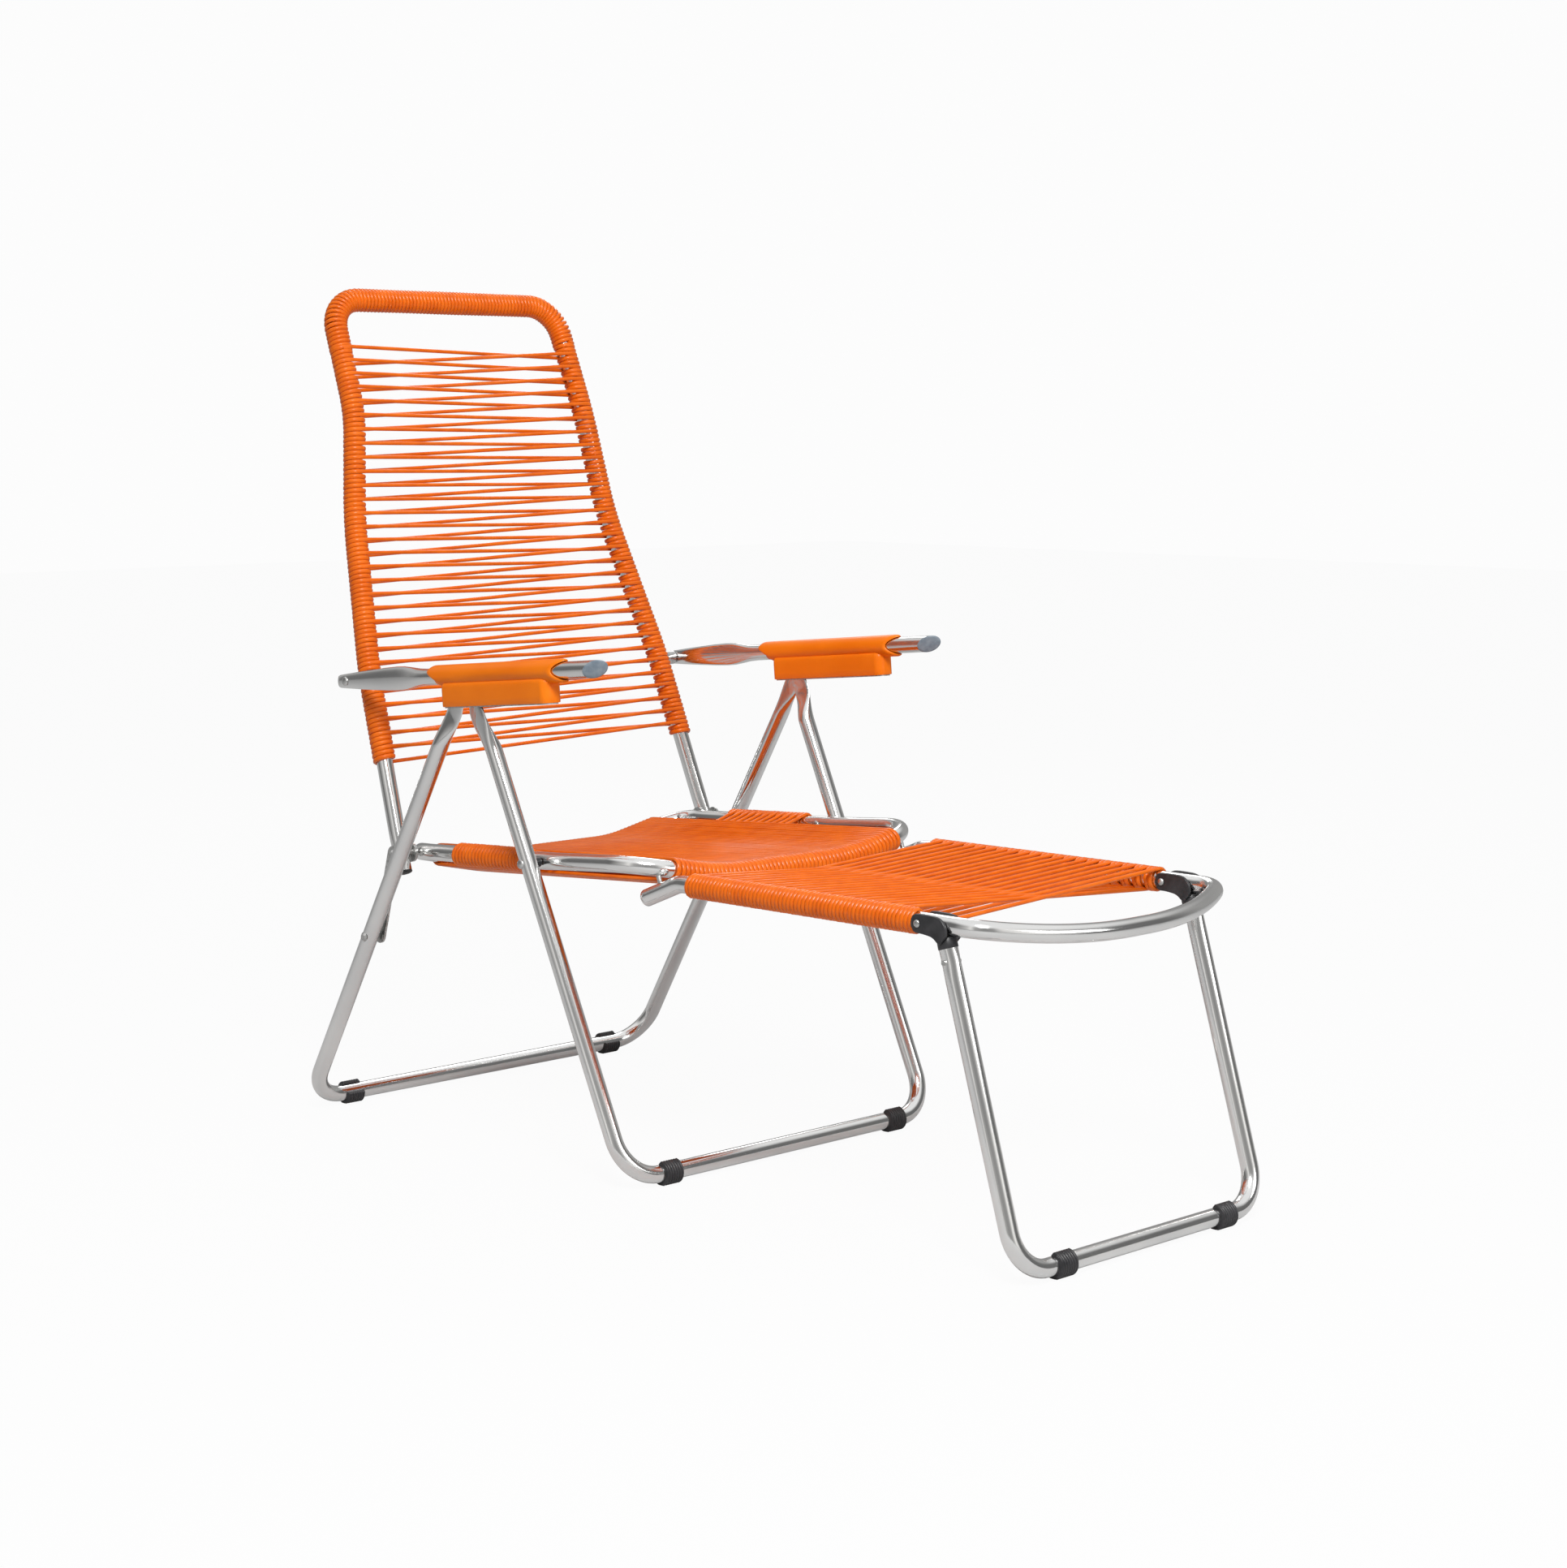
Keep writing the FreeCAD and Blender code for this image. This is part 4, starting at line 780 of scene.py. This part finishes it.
WRAP_REAR_Y = 178.0
WRAP_FRONT_Y = 26.0
WRAP_SPANS = 10
WRAP_TURNS = 1.5
WRAP_MARGIN = 20.0
RAIL_REAR_Y = WRAP_REAR_Y + WRAP_MARGIN
RAIL = Path(
    [
        place(SEAT_RAIL_X, RAIL_REAR_Y, SEAT_PIVOT[1] + SEAT_SLOPE * RAIL_REAR_Y),
        place(SEAT_RAIL_X, 0, SEAT_PIVOT[1]),
    ],
    [0, 0],
)


def seat_top(x, y):
    """Height of the seat's upper cords at a place."""
    front, rear = bar_at(FRONT_BAR, x)[0], bar_at(REAR_BAR, x)[0]
    share = (y - front.y) / (rear.y - front.y)
    return mix(front.z, rear.z, share) + LAYER


def under_seat(start, end):
    """Places of a cord that dips from the rail and crosses below the seat's upper layer."""
    places = []
    for share in (0.025, 0.06, 0.1, 0.2, 0.35, 0.5, 0.65, 0.8, 0.9, 0.94, 0.975):
        spot = start.lerp(end, share)
        x = min(max(spot.x, -SEAT_WIND_X), SEAT_WIND_X)
        limit = seat_top(x, spot.y) - 2.1 * CORD
        dip = min((SEAT_RAIL_X - abs(spot.x)) / (SEAT_RAIL_X - SEAT_WIND_X), 1.0)
        places.append(Vector((spot.x, spot.y, mix(spot.z, min(spot.z, limit), dip))))
    return places


def build_side_lacing():
    """The cord on the seat's side rails, which crosses under the upper layer."""
    sheet = Sheet()
    covered = WRAP_REAR_Y - WRAP_FRONT_Y
    period = covered / (WRAP_SPANS + 0.75)
    end = WRAP_MARGIN + period * WRAP_SPANS
    add_cord(sheet, lace(RAIL, WRAP_MARGIN, end, WRAP_SPANS, WRAP_TURNS, Z_AXIS, under_seat)[0])
    sheet.piece("seat_side_lacing", PVC, "seat", ["seat_cross_cords", "seat_wrap_left", "seat_wrap_right"])


build_side_lacing()


# Armrests

ARM_X = 292.0
ARM_FRONT = (-159.0, 650.2)
ARM_LINE = place(0, *ARM_PIVOT) - place(0, *ARM_FRONT)
ARM_WAY = ARM_LINE.normalized()
ARM_UP = X_AXIS.cross(ARM_WAY)
CUT_TURN = math.tan(math.radians(45.0))
CUT_TILT = math.tan(math.radians(24.0))
SLEEVE = 15.0
SLEEVE_FRONT_Y = -105.0
SLEEVE_REAR_Y = 168.0
BOX_FRONT_Y = -77.5
BOX_REAR_Y = 135.6
BOX_DEPTH = 39.0
RIB_PITCH = 2.9


def arm_spot(x, y, below=0.0):
    """A place on the arm's axis at a depth, or some way below it."""
    share = (y - ARM_FRONT[0]) / (ARM_PIVOT[0] - ARM_FRONT[0])
    return place(x, *ARM_FRONT) + ARM_LINE * share - ARM_UP * below


def arm_ring(x, y, tall, thick, count=TUBE_RING):
    """A ring round the arm's axis at a depth."""
    return oval(arm_spot(x, y), tall, thick, ARM_UP, X_AXIS, count)


def cut_ring(x, radius, beyond=0.0):
    """The oblique end's rim: a ring on the arm's cylinder, where the slanted cut meets it."""
    normal = (ARM_WAY * -1 - X_AXIS * CUT_TURN - ARM_UP * CUT_TILT).normalized()
    centre = arm_spot(x, ARM_FRONT[0])
    ring = []
    for point in oval(centre, radius, radius, ARM_UP, X_AXIS, TUBE_RING):
        slide = (centre - point).dot(normal) / ARM_WAY.dot(normal)
        ring.append(point + ARM_WAY * slide + normal * beyond)
    return ring


ARM_TAIL = (
    # depth, half height, half thickness
    (180.0, 11.0, 11.0), (195.0, 11.8, 10.2), (212.0, 14.0, 8.2), (228.0, 15.7, 6.6), (244.0, 16.0, 5.8),
    (270.0, 15.2, 5.2), (300.0, 13.6, 4.5), (330.0, 11.8, 3.9), (350.0, 10.4, 3.5), (366.0, 9.4, 3.2),
    (375.0, 8.6, 3.0), (378.0, 7.6, 2.7), (379.0, 5.6, 2.0),
)
CAP_DOME = (
    # share of the tube's radius, height above the cut
    (1.0, 0.0), (1.0, 0.8), (0.96, 1.3), (0.84, 1.8), (0.6, 2.2), (0.3, 2.45),
)
ARM_STEP = 12.0


def build_arm(name, side):
    """One armrest: bar with a flattened tail, end cap and grip."""
    x = side * ARM_X
    body = f"arm_{name}"
    sheet = Sheet()
    rings = [cut_ring(x, TUBE)]
    rings += [arm_ring(x, y, TUBE, TUBE) for y in steps(ARM_FRONT[0] + 38, 170.0, ARM_STEP)]
    rings += [arm_ring(x, *section) for section in ARM_TAIL]
    sheet.skin(rings, lengths=[ARM_STEP * index for index in range(len(rings) + 1)])
    sheet.piece(f"arm_bar_{name}", ALUMINIUM, body, [f"arm_tube_{name}"])

    cap = Sheet()
    cap.skin([cut_ring(x, TUBE * share, height) for share, height in CAP_DOME])
    cap.piece(f"arm_end_cap_{name}", CAP, body, [f"arm_cap_{name}"])
    build_grip(name, x, body)


GRIP_RING = 48
GRIP_STATIONS = 380
GRIP_GROOVE = 0.42
SLEEVE_BORE = TUBE + 0.05
SLEEVE_LIP = TUBE + 1.2


def build_grip(name, x, body):
    """The ribbed sleeve on the tube and the deep housing under it."""
    sheet = Sheet()
    rings = []
    for share in steps(0.0, 1.0, 1.0 / GRIP_STATIONS):
        ring = []
        for index in range(GRIP_RING):
            turn = 2 * math.pi * index / GRIP_RING
            height, lateral = math.cos(turn), math.sin(turn)
            front = SLEEVE_FRONT_Y + 17 * lateral * lateral
            rear = SLEEVE_REAR_Y - 22 * smooth(0.5 - 0.75 * height) - 4 * height * height
            y = mix(front, rear, share)
            from_end = min(share, 1 - share) * (rear - front)
            radius = mix(SLEEVE_LIP, SLEEVE, math.sqrt(1 - (1 - min(from_end / 7.0, 1)) ** 2))
            flank = smooth(0.95 - abs(height + 0.25) * 0.9)
            rib = math.cos(2 * math.pi * y / RIB_PITCH)
            radius -= GRIP_GROOVE * flank * (0.5 - 0.5 * rib) * smooth(from_end / 12.0)
            ring.append(arm_spot(x, y) + ARM_UP * (radius * height) + X_AXIS * (radius * lateral))
        rings.append(ring)
    inner_ends = (SLEEVE_REAR_Y - 16, SLEEVE_FRONT_Y + 18)
    inner = [arm_ring(x, y, SLEEVE_BORE, SLEEVE_BORE, GRIP_RING) for y in inner_ends]
    sheet.skin(rings + inner, closed=True)
    add_housing(sheet, x)
    sheet.piece(f"arm_grip_{name}", GRIP, body, [f"arm_housing_{name}"], sharp=50)
    liner = Sheet()
    strip_rows(liner, housing_rows(x, LINER_WALL))
    liner.piece(f"arm_liner_{name}", ZINC, body, sharp=40)


FRONT_ROUND = 11.0
REAR_ROUND = 6.0
REAR_SLOT = 10.6
WALL_STATIONS = 330

# walls of the housing: inset from its outline, distance below the arm's axis
OUTER_WALL = (
    (5.0, 7.0), (3.2, 8.2), (1.6, 9.4), (0.6, 11.0), (0.1, 13.0), (0.0, 15.5), (0.0, 18.5), (0.0, 22.0),
    (0.0, 30.0), (0.0, BOX_DEPTH - 1.0), (0.6, BOX_DEPTH),
)
INNER_WALL = ((2.0, BOX_DEPTH), (2.6, BOX_DEPTH - 1.0), (2.6, 13.2), (5.5, 12.4))
LINER_WALL = ((2.7, 16.0), (2.7, BOX_DEPTH + 1.6), (3.9, BOX_DEPTH + 1.6), (3.9, 16.0))


def housing_outline(inset):
    """Open outline of the housing seen from above: depth and lateral place, round the closed front."""
    half = SLEEVE - inset
    spots = []
    rear, front = BOX_REAR_Y - inset, BOX_FRONT_Y + inset
    rear_round = max(REAR_ROUND - inset, 0.5)
    front_round = max(FRONT_ROUND - inset, 1.0)
    slot = min(REAR_SLOT, half - rear_round)
    spots.append((rear, slot))
    for index in range(7):
        turn = math.pi / 2 * index / 6
        spots.append((rear - rear_round * (1 - math.cos(turn)), half - rear_round * (1 - math.sin(turn))))
    length = rear - rear_round - front - front_round
    for index in range(1, WALL_STATIONS):
        spots.append((rear - rear_round - length * index / WALL_STATIONS, half))
    for index in range(25):
        turn = math.pi / 2 * index / 24
        spots.append((front + front_round * (1 - math.sin(turn)), half - front_round * (1 - math.cos(turn))))
    return spots + [(y, -lateral) for y, lateral in reversed(spots)]


def outline_spot(x, spot, below):
    """A place on the housing's outline, some way below the arm's axis."""
    return arm_spot(x + spot[1], spot[0], below)


def housing_rows(x, wall):
    """Plain rows of a wall round the housing."""
    return [[outline_spot(x, spot, below) for spot in housing_outline(inset)] for inset, below in wall]


def strip_rows(sheet, rows):
    """A closed band: rows of equal count joined round, with both open ends filled."""
    held = [sheet.add(row) for row in rows]
    count = len(rows[0])
    for low, high in zip(held, held[1:] + held[:1]):
        for index in range(count - 1):
            sheet.face((low[index], low[index + 1], high[index + 1], high[index]))
    sheet.face([row[0] for row in held])
    sheet.face([row[-1] for row in reversed(held)])


def add_housing(sheet, x):
    """The deep walls under the sleeve, with a ribbed shoulder, open below and in the middle of the rear."""
    rows = []
    for inset, below in OUTER_WALL:
        row = []
        relief = 0.5 * smooth((20.0 - below) / 9.0) if below > 8.5 else 0.0
        walked = 0.0
        spots = housing_outline(inset)
        for index, spot in enumerate(spots):
            if index:
                walked += math.hypot(spot[0] - spots[index - 1][0], spot[1] - spots[index - 1][1])
            groove = relief * (0.5 - 0.5 * math.cos(2 * math.pi * walked / RIB_PITCH))
            lateral = math.copysign(max(abs(spot[1]) - groove, 0.0), spot[1])
            row.append(outline_spot(x, (spot[0], lateral), below))
        rows.append(row)
    strip_rows(sheet, rows + housing_rows(x, INNER_WALL))


for side_name, side_sign in SIDES:
    build_arm(side_name, side_sign)


# Feet, hinge heads, rivets and plugs

FOOT_LENGTH = 28.0
FOOT_RIBS = 7
FOOT_GROOVE = 14.5
FOOT_RIB = 1.5
FOOT_GAP = math.radians(66)
FOOT_ARC = 40


def build_foot(name, body, x, y, open_way, node):
    """A ribbed clip that goes most of the way round its bar, flat where it stands."""
    stations = steps(-FOOT_LENGTH / 2, FOOT_LENGTH / 2, FOOT_LENGTH / (FOOT_RIBS * 8))
    middle = math.atan2(1.0, open_way * 0.9)
    rings = []
    for at in stations:
        edge = FOOT_LENGTH / 2 - abs(at)
        rib = abs(math.sin(math.pi * (at + FOOT_LENGTH / 2) * FOOT_RIBS / FOOT_LENGTH))
        outer = FOOT_GROOVE + FOOT_RIB * rib ** 0.7
        outer -= 1.2 * (1 - smooth(edge / 1.6))
        ring = []
        for index in range(FOOT_ARC + 1):
            turn = middle + FOOT_GAP / 2 + (2 * math.pi - FOOT_GAP) * index / FOOT_ARC
            ends = min(index, FOOT_ARC - index) / 2.0
            radius = mix(TUBE + 1.2, outer, math.sqrt(min(ends, 1.0)))
            ring.append((turn, radius))
        ring += [(turn, TUBE + 0.03) for turn, _ in reversed(ring)]
        points = []
        for turn, radius in ring:
            z = FOOT_Z + radius * math.sin(turn)
            points.append(place(x + at, y + radius * math.cos(turn), max(z, 0.0)))
        rings.append(points)
    sheet = Sheet()
    sheet.skin(rings)
    sheet.piece(name, BLACK, body, [node], sharp=50)


FEET = (
    # piece, body, distance from the middle plane, depth, side on which the clip is open, node
    ("front_clip", "front_legs", 200.0, FRONT_FOOT_Y, 1, "front_foot"),
    ("rear_clip", "rear_legs", 234.0, REAR_FOOT_Y, -1, "rear_foot"),
    ("footrest_clip", "footrest_leg", 144.0, REST_FOOT_Y, 1, "footrest_foot"),
)
for side_name, side_sign in SIDES:
    for clip, clip_body, clip_x, clip_y, clip_way, clip_node in FEET:
        build_foot(
            f"{clip}_{side_name}", clip_body, side_sign * clip_x, clip_y, clip_way, f"{clip_node}_{side_name}"
        )

HEAD_GAP = 11.6
HEAD_CHEEK = 3.6
CHEEK = (
    (0, 11.5), (-34, 11), (-43.5, 1), (-44.5, -8), (-39.5, -14.5), (-34, -21), (-24, -13), (-8, -11),
    (5, -11), (11.5, -2), (8.5, 8.5),
)
WEB = ((-24, -12.5), (-41.5, -11), (-39, -14), (-34, -20.5), (-28, -16))
COLLAR = ((-12.5, 9.0), (-12.2, 10.8), (-11.5, 11.4), (-0.8, 11.6), (0.0, 11.2), (0.2, 9.4), (30, 9.3))


def rounded_outline(outline, rounds=3):
    """An outline with its corners cut again and again until they are round."""
    for _ in range(rounds):
        finer = []
        for (y, z), (next_y, next_z) in zip(outline, outline[1:] + outline[:1]):
            finer.append((mix(y, next_y, 0.2), mix(z, next_z, 0.2)))
            finer.append((mix(y, next_y, 0.8), mix(z, next_z, 0.8)))
        outline = finer
    return outline


def add_plate(sheet, outline, near, far, edge=1.0):
    """A plate across X with eased edges."""
    middle_y = sum(y for y, _ in outline) / len(outline)
    middle_z = sum(z for _, z in outline) / len(outline)
    step = math.copysign(edge, far - near)
    rings = []
    for x, shrink in ((near, 0.965), (near + step, 1.0), (far - step, 1.0), (far, 0.965)):
        rings.append([
            place(x, REST_PIVOT[0] + mix(middle_y, y, shrink), REST_PIVOT[1] + mix(middle_z, z, shrink))
            for y, z in outline
        ])
    sheet.skin(rings)


def build_head(name, side):
    """The elbow that carries the footrest's leg on its rail."""
    sheet = Sheet()
    x = side * REST_RAIL_X
    cheek = rounded_outline(list(CHEEK))
    for face in (-1, 1):
        near = x + face * HEAD_GAP
        add_plate(sheet, cheek, near, near + face * HEAD_CHEEK)
    half = HEAD_GAP + HEAD_CHEEK - 0.4
    add_plate(sheet, rounded_outline(list(WEB), 2), x - half, x + half)
    top, way = REST_LEG.spot(0.0)
    top = Vector((side * top.x, top.y, top.z))
    way = Vector((side * way.x, way.y, way.z))
    add_lathe(sheet, top, way, COLLAR)
    sheet.piece(f"hinge_elbow_{name}", BLACK, "footrest_leg", [f"hinge_head_{name}"], sharp=45)


for side_name, side_sign in SIDES:
    build_head(side_name, side_sign)

HEAD = 6.2
DOME = 2.6


def rivet_profile(inner, outer, shank=3.9, head=HEAD):
    """Domed head, shank, domed head, as distances along the rivet and radii."""
    dome = []
    for index in range(7):
        turn = math.pi / 2 * index / 6
        dome.append((DOME * math.sin(turn), max(head * math.cos(turn), 0.3)))
    left = [(inner - height, radius) for height, radius in reversed(dome)]
    right = [(outer + height, radius) for height, radius in dome]
    return left + [(inner + 0.01, shank), (outer - 0.01, shank)] + right


def build_rivets(name, body, node, spots, head=HEAD):
    """Rivets along X, given by inner and outer face, depth and height."""
    sheet = Sheet()
    for side, inner, outer, y, z in spots:
        add_lathe(sheet, place(0, y, z), X_AXIS * side, rivet_profile(inner, outer, head=head))
    sheet.piece(name, ZINC, body, [node], sharp=50)


RAIL_INNER = SEAT_RAIL_X - TUBE
LEG_SPREAD = FRONT_LEG_X[0] - FRONT_LEG_X[1]
LEG_AT_SEAT = FRONT_LEG_X[0] - LEG_SPREAD * (LEG_PIVOT[1] - SEAT_PIVOT[1]) / (LEG_PIVOT[1] - FOOT_Z)
REST_RIVET = (REST_RAIL_X - 15.4, REST_RAIL_X + 15.4)
REST_RIVET_HEAD = 4.6
ARM_RIVET = (244.8, 295.6)
build_rivets(
    "seat_rivet_heads", "front_legs", "seat_rivets",
    [(side, RAIL_INNER + 1.0, LEG_AT_SEAT + TUBE - 0.3, *SEAT_PIVOT) for _, side in SIDES],
)
build_rivets(
    "footrest_rivet_heads", "footrest", "footrest_rivets",
    [(side, *REST_RIVET, *REST_PIVOT) for _, side in SIDES],
    head=REST_RIVET_HEAD,
)
for side_name, side_sign in SIDES:
    build_rivets(
        f"arm_rivet_{side_name}", f"arm_hinge_{side_name}", f"arm_hinge_{side_name}",
        [(side_sign, *ARM_RIVET, *ARM_PIVOT)],
    )


BUSH = ((269.6, 5.0), (269.6, 9.2), (270.4, 10.0), (287.2, 10.0), (288.0, 9.2), (288.0, 5.0))


def build_arm_bushes():
    """Distance bushes between posts and armrests, riding with their rivets."""
    for name, side in SIDES:
        sheet = Sheet()
        add_lathe(sheet, place(0, *ARM_PIVOT), X_AXIS * side, BUSH)
        sheet.piece(f"arm_bush_{name}", ZINC, f"arm_hinge_{name}", sharp=40)


build_arm_bushes()

PLUG = ((-4.6, 0.6), (-4.4, 4.0), (-3.6, 8.0), (-2.4, 10.6), (-0.8, 11.3), (0.0, 11.2), (0.1, 9.4), (10, 9.3))


def build_plugs():
    """Domed plugs in the lower ends of the posts."""
    sheet = Sheet()
    foot, way = BACK.spot(0.0)
    for _, side in SIDES:
        centre = Vector((side * foot.x, foot.y, foot.z))
        up = Vector((side * way.x, way.y, way.z))
        add_lathe(sheet, centre, up, PLUG)
    sheet.piece("post_end_plugs", BLACK, "backrest", ["post_plugs"], sharp=50)


build_plugs()

KEPT = {
    "link_plate_left": ZINC, "link_plate_right": ZINC, "link_stub_left": ZINC, "link_stub_right": ZINC,
    "rear_leg_rivets": ZINC, "back_hinge_rivets": ZINC, "ratchet_pins": ZINC, "seat_bushes": BLACK,
    "footrest_studs": ZINC, "footrest_leg_rivets": ZINC, "arm_rack_left": ZINC, "arm_rack_right": ZINC,
}
for node_name, finish in KEPT.items():
    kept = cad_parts[node_name]
    kept.data.materials.clear()
    kept.data.materials.append(finish)


# Stage: pale floor, room light, soft lamps, camera

GLOSS_SHARE = 0.12
FLOOR_SHADE = 0.58
FLOOR_WHITE = 0.95


def white_share(tree):
    """How far a ray sees plain white: fully from the camera and through glass, partly in reflections."""
    rays = tree.nodes.new("ShaderNodeLightPath")
    part = tree.nodes.new("ShaderNodeMath")
    part.operation = "MULTIPLY"
    part.inputs[1].default_value = GLOSS_SHARE
    seen = tree.nodes.new("ShaderNodeMath")
    seen.operation = "MAXIMUM"
    clear = tree.nodes.new("ShaderNodeMath")
    clear.operation = "MAXIMUM"
    tree.links.new(rays.outputs["Is Glossy Ray"], part.inputs[0])
    tree.links.new(rays.outputs["Is Camera Ray"], seen.inputs[0])
    tree.links.new(part.outputs[0], seen.inputs[1])
    tree.links.new(seen.outputs[0], clear.inputs[0])
    tree.links.new(rays.outputs["Is Transmission Ray"], clear.inputs[1])
    return rays, clear.outputs[0]


def stage_material():
    """Pale and matt; the camera sees it near white, with the shadow kept."""
    made = bpy.data.materials.new("studio_white")
    made.use_nodes = True
    tree = made.node_tree
    tree.nodes.remove(tree.nodes["Principled BSDF"])
    output = tree.nodes["Material Output"]
    matt = tree.nodes.new("ShaderNodeBsdfDiffuse")
    matt.inputs["Color"].default_value = (FLOOR_SHADE, FLOOR_SHADE, FLOOR_SHADE, 1)
    glow = tree.nodes.new("ShaderNodeEmission")
    share = tree.nodes.new("ShaderNodeMath")
    share.operation = "MULTIPLY"
    share.inputs[1].default_value = FLOOR_WHITE
    blend = tree.nodes.new("ShaderNodeMixShader")
    tree.links.new(white_share(tree)[1], share.inputs[0])
    tree.links.new(share.outputs[0], blend.inputs["Fac"])
    tree.links.new(matt.outputs[0], blend.inputs[1])
    tree.links.new(glow.outputs[0], blend.inputs[2])
    tree.links.new(blend.outputs[0], output.inputs["Surface"])
    return made


def stage_plane(name, corners):
    """A flat piece of the stage."""
    mesh = bpy.data.meshes.new(name)
    mesh.from_pydata(corners, [], [(0, 1, 2, 3)])
    mesh.materials.append(STUDIO)
    plane = bpy.data.objects.new(name, mesh)
    bpy.context.scene.collection.objects.link(plane)


STUDIO = stage_material()
ROOM = 14.0
stage_plane("floor", [(-ROOM, -ROOM, 0), (ROOM, -ROOM, 0), (ROOM, ROOM, 0), (-ROOM, ROOM, 0)])


BANDS = (
    # share of the turn round the horizon, brightness
    (0.0, 0.55), (0.03, 0.95), (0.06, 0.36), (0.129, 0.20), (0.20, 0.26), (0.26, 0.95),
    (0.29, 0.9), (0.33, 0.04), (0.42, 0.05), (0.47, 0.3), (0.629, 0.22), (0.70, 0.14),
    (0.79, 0.45), (0.83, 0.05), (0.90, 0.04), (0.96, 0.34), (1.0, 0.55),
)
ROOM_LIGHT = 0.6
BACKDROP = (0.975, 0.975, 0.975, 1)


def build_world():
    """Soft room light: a bright ceiling over pale panels with dark gaps between them, white to the camera."""
    world = bpy.data.worlds.new("studio")
    bpy.context.scene.world = world
    world.use_nodes = True
    tree = world.node_tree
    coordinates = tree.nodes.new("ShaderNodeTexCoord")
    around = tree.nodes.new("ShaderNodeTexGradient")
    around.gradient_type = "RADIAL"
    panels = tree.nodes.new("ShaderNodeValToRGB")
    for index, (position, level) in enumerate(BANDS):
        stops = panels.color_ramp.elements
        stop = stops[index] if index < 2 else stops.new(position)
        stop.position = position
        stop.color = (level, level * 0.985, level * 0.965, 1)
    split = tree.nodes.new("ShaderNodeSeparateXYZ")
    rise = tree.nodes.new("ShaderNodeMapRange")
    rise.interpolation_type = "SMOOTHSTEP"
    rise.inputs["From Min"].default_value = 0.45
    rise.inputs["From Max"].default_value = 0.8
    ceiling = tree.nodes.new("ShaderNodeMix")
    ceiling.data_type = "RGBA"
    ceiling.inputs[7].default_value = (0.95, 0.95, 0.95, 1)
    rays, whiteness = white_share(tree)
    white = tree.nodes.new("ShaderNodeMix")
    white.data_type = "RGBA"
    white.inputs[7].default_value = BACKDROP
    tree.links.new(coordinates.outputs["Generated"], around.inputs["Vector"])
    tree.links.new(around.outputs["Fac"], panels.inputs["Fac"])
    tree.links.new(coordinates.outputs["Generated"], split.inputs["Vector"])
    tree.links.new(split.outputs["Z"], rise.inputs["Value"])
    tree.links.new(rise.outputs["Result"], ceiling.inputs[0])
    tree.links.new(panels.outputs["Color"], ceiling.inputs[6])
    tree.links.new(ceiling.outputs[2], white.inputs[6])
    tree.links.new(whiteness, white.inputs[0])
    tree.links.new(white.outputs[2], tree.nodes["Background"].inputs["Color"])
    seen = tree.nodes.new("ShaderNodeMath")
    seen.operation = "MAXIMUM"
    strength = tree.nodes.new("ShaderNodeMapRange")
    strength.inputs["To Min"].default_value = ROOM_LIGHT
    tree.links.new(rays.outputs["Is Camera Ray"], seen.inputs[0])
    tree.links.new(rays.outputs["Is Glossy Ray"], seen.inputs[1])
    tree.links.new(seen.outputs[0], strength.inputs["Value"])
    tree.links.new(strength.outputs["Result"], tree.nodes["Background"].inputs["Strength"])


build_world()


def lamp(name, spot, aim, width, height, watts):
    """A soft rectangular lamp that looks at a place."""
    light = bpy.data.lights.new(name, "AREA")
    light.shape = "RECTANGLE"
    light.size = width
    light.size_y = height
    light.energy = watts
    holder = bpy.data.objects.new(name, light)
    holder.location = spot
    holder.rotation_euler = (Vector(aim) - Vector(spot)).to_track_quat("-Z", "Y").to_euler()
    bpy.context.scene.collection.objects.link(holder)


lamp("key", (-1.7, -2.1, 3.1), (0, 0.1, 0.5), 1.2, 1.2, 112)
lamp("fill", (1.2, -3.4, 1.6), (0, 0, 0.5), 1.6, 1.0, 20)
lamp("rim", (2.2, 2.4, 2.6), (0, 0.2, 0.6), 1.4, 1.4, 20)

CAMERA_SPOT = place(-2513.0, -2832.0, 944.5) * MM
CAMERA_TURN = math.radians(43.48)
CAMERA_DROP = math.radians(7.14)
CAMERA_WAY = Vector((math.sin(CAMERA_TURN), math.cos(CAMERA_TURN), 0)) * math.cos(CAMERA_DROP)
CAMERA_WAY.z = -math.sin(CAMERA_DROP)
IMAGE_WIDTH = 1931
FOCAL_PIXELS = 3542.87


def build_camera():
    """The photograph's camera."""
    camera = bpy.data.cameras.new("photo_camera")
    camera.sensor_width = 36.0
    camera.lens = FOCAL_PIXELS / IMAGE_WIDTH * camera.sensor_width
    camera.clip_start = 0.05
    camera.clip_end = 100.0
    holder = bpy.data.objects.new("photo_camera", camera)
    holder.location = CAMERA_SPOT
    holder.rotation_euler = CAMERA_WAY.to_track_quat("-Z", "Y").to_euler()
    bpy.context.scene.collection.objects.link(holder)
    bpy.context.scene.camera = holder


build_camera()
bpy.context.scene.view_settings.view_transform = "Standard"
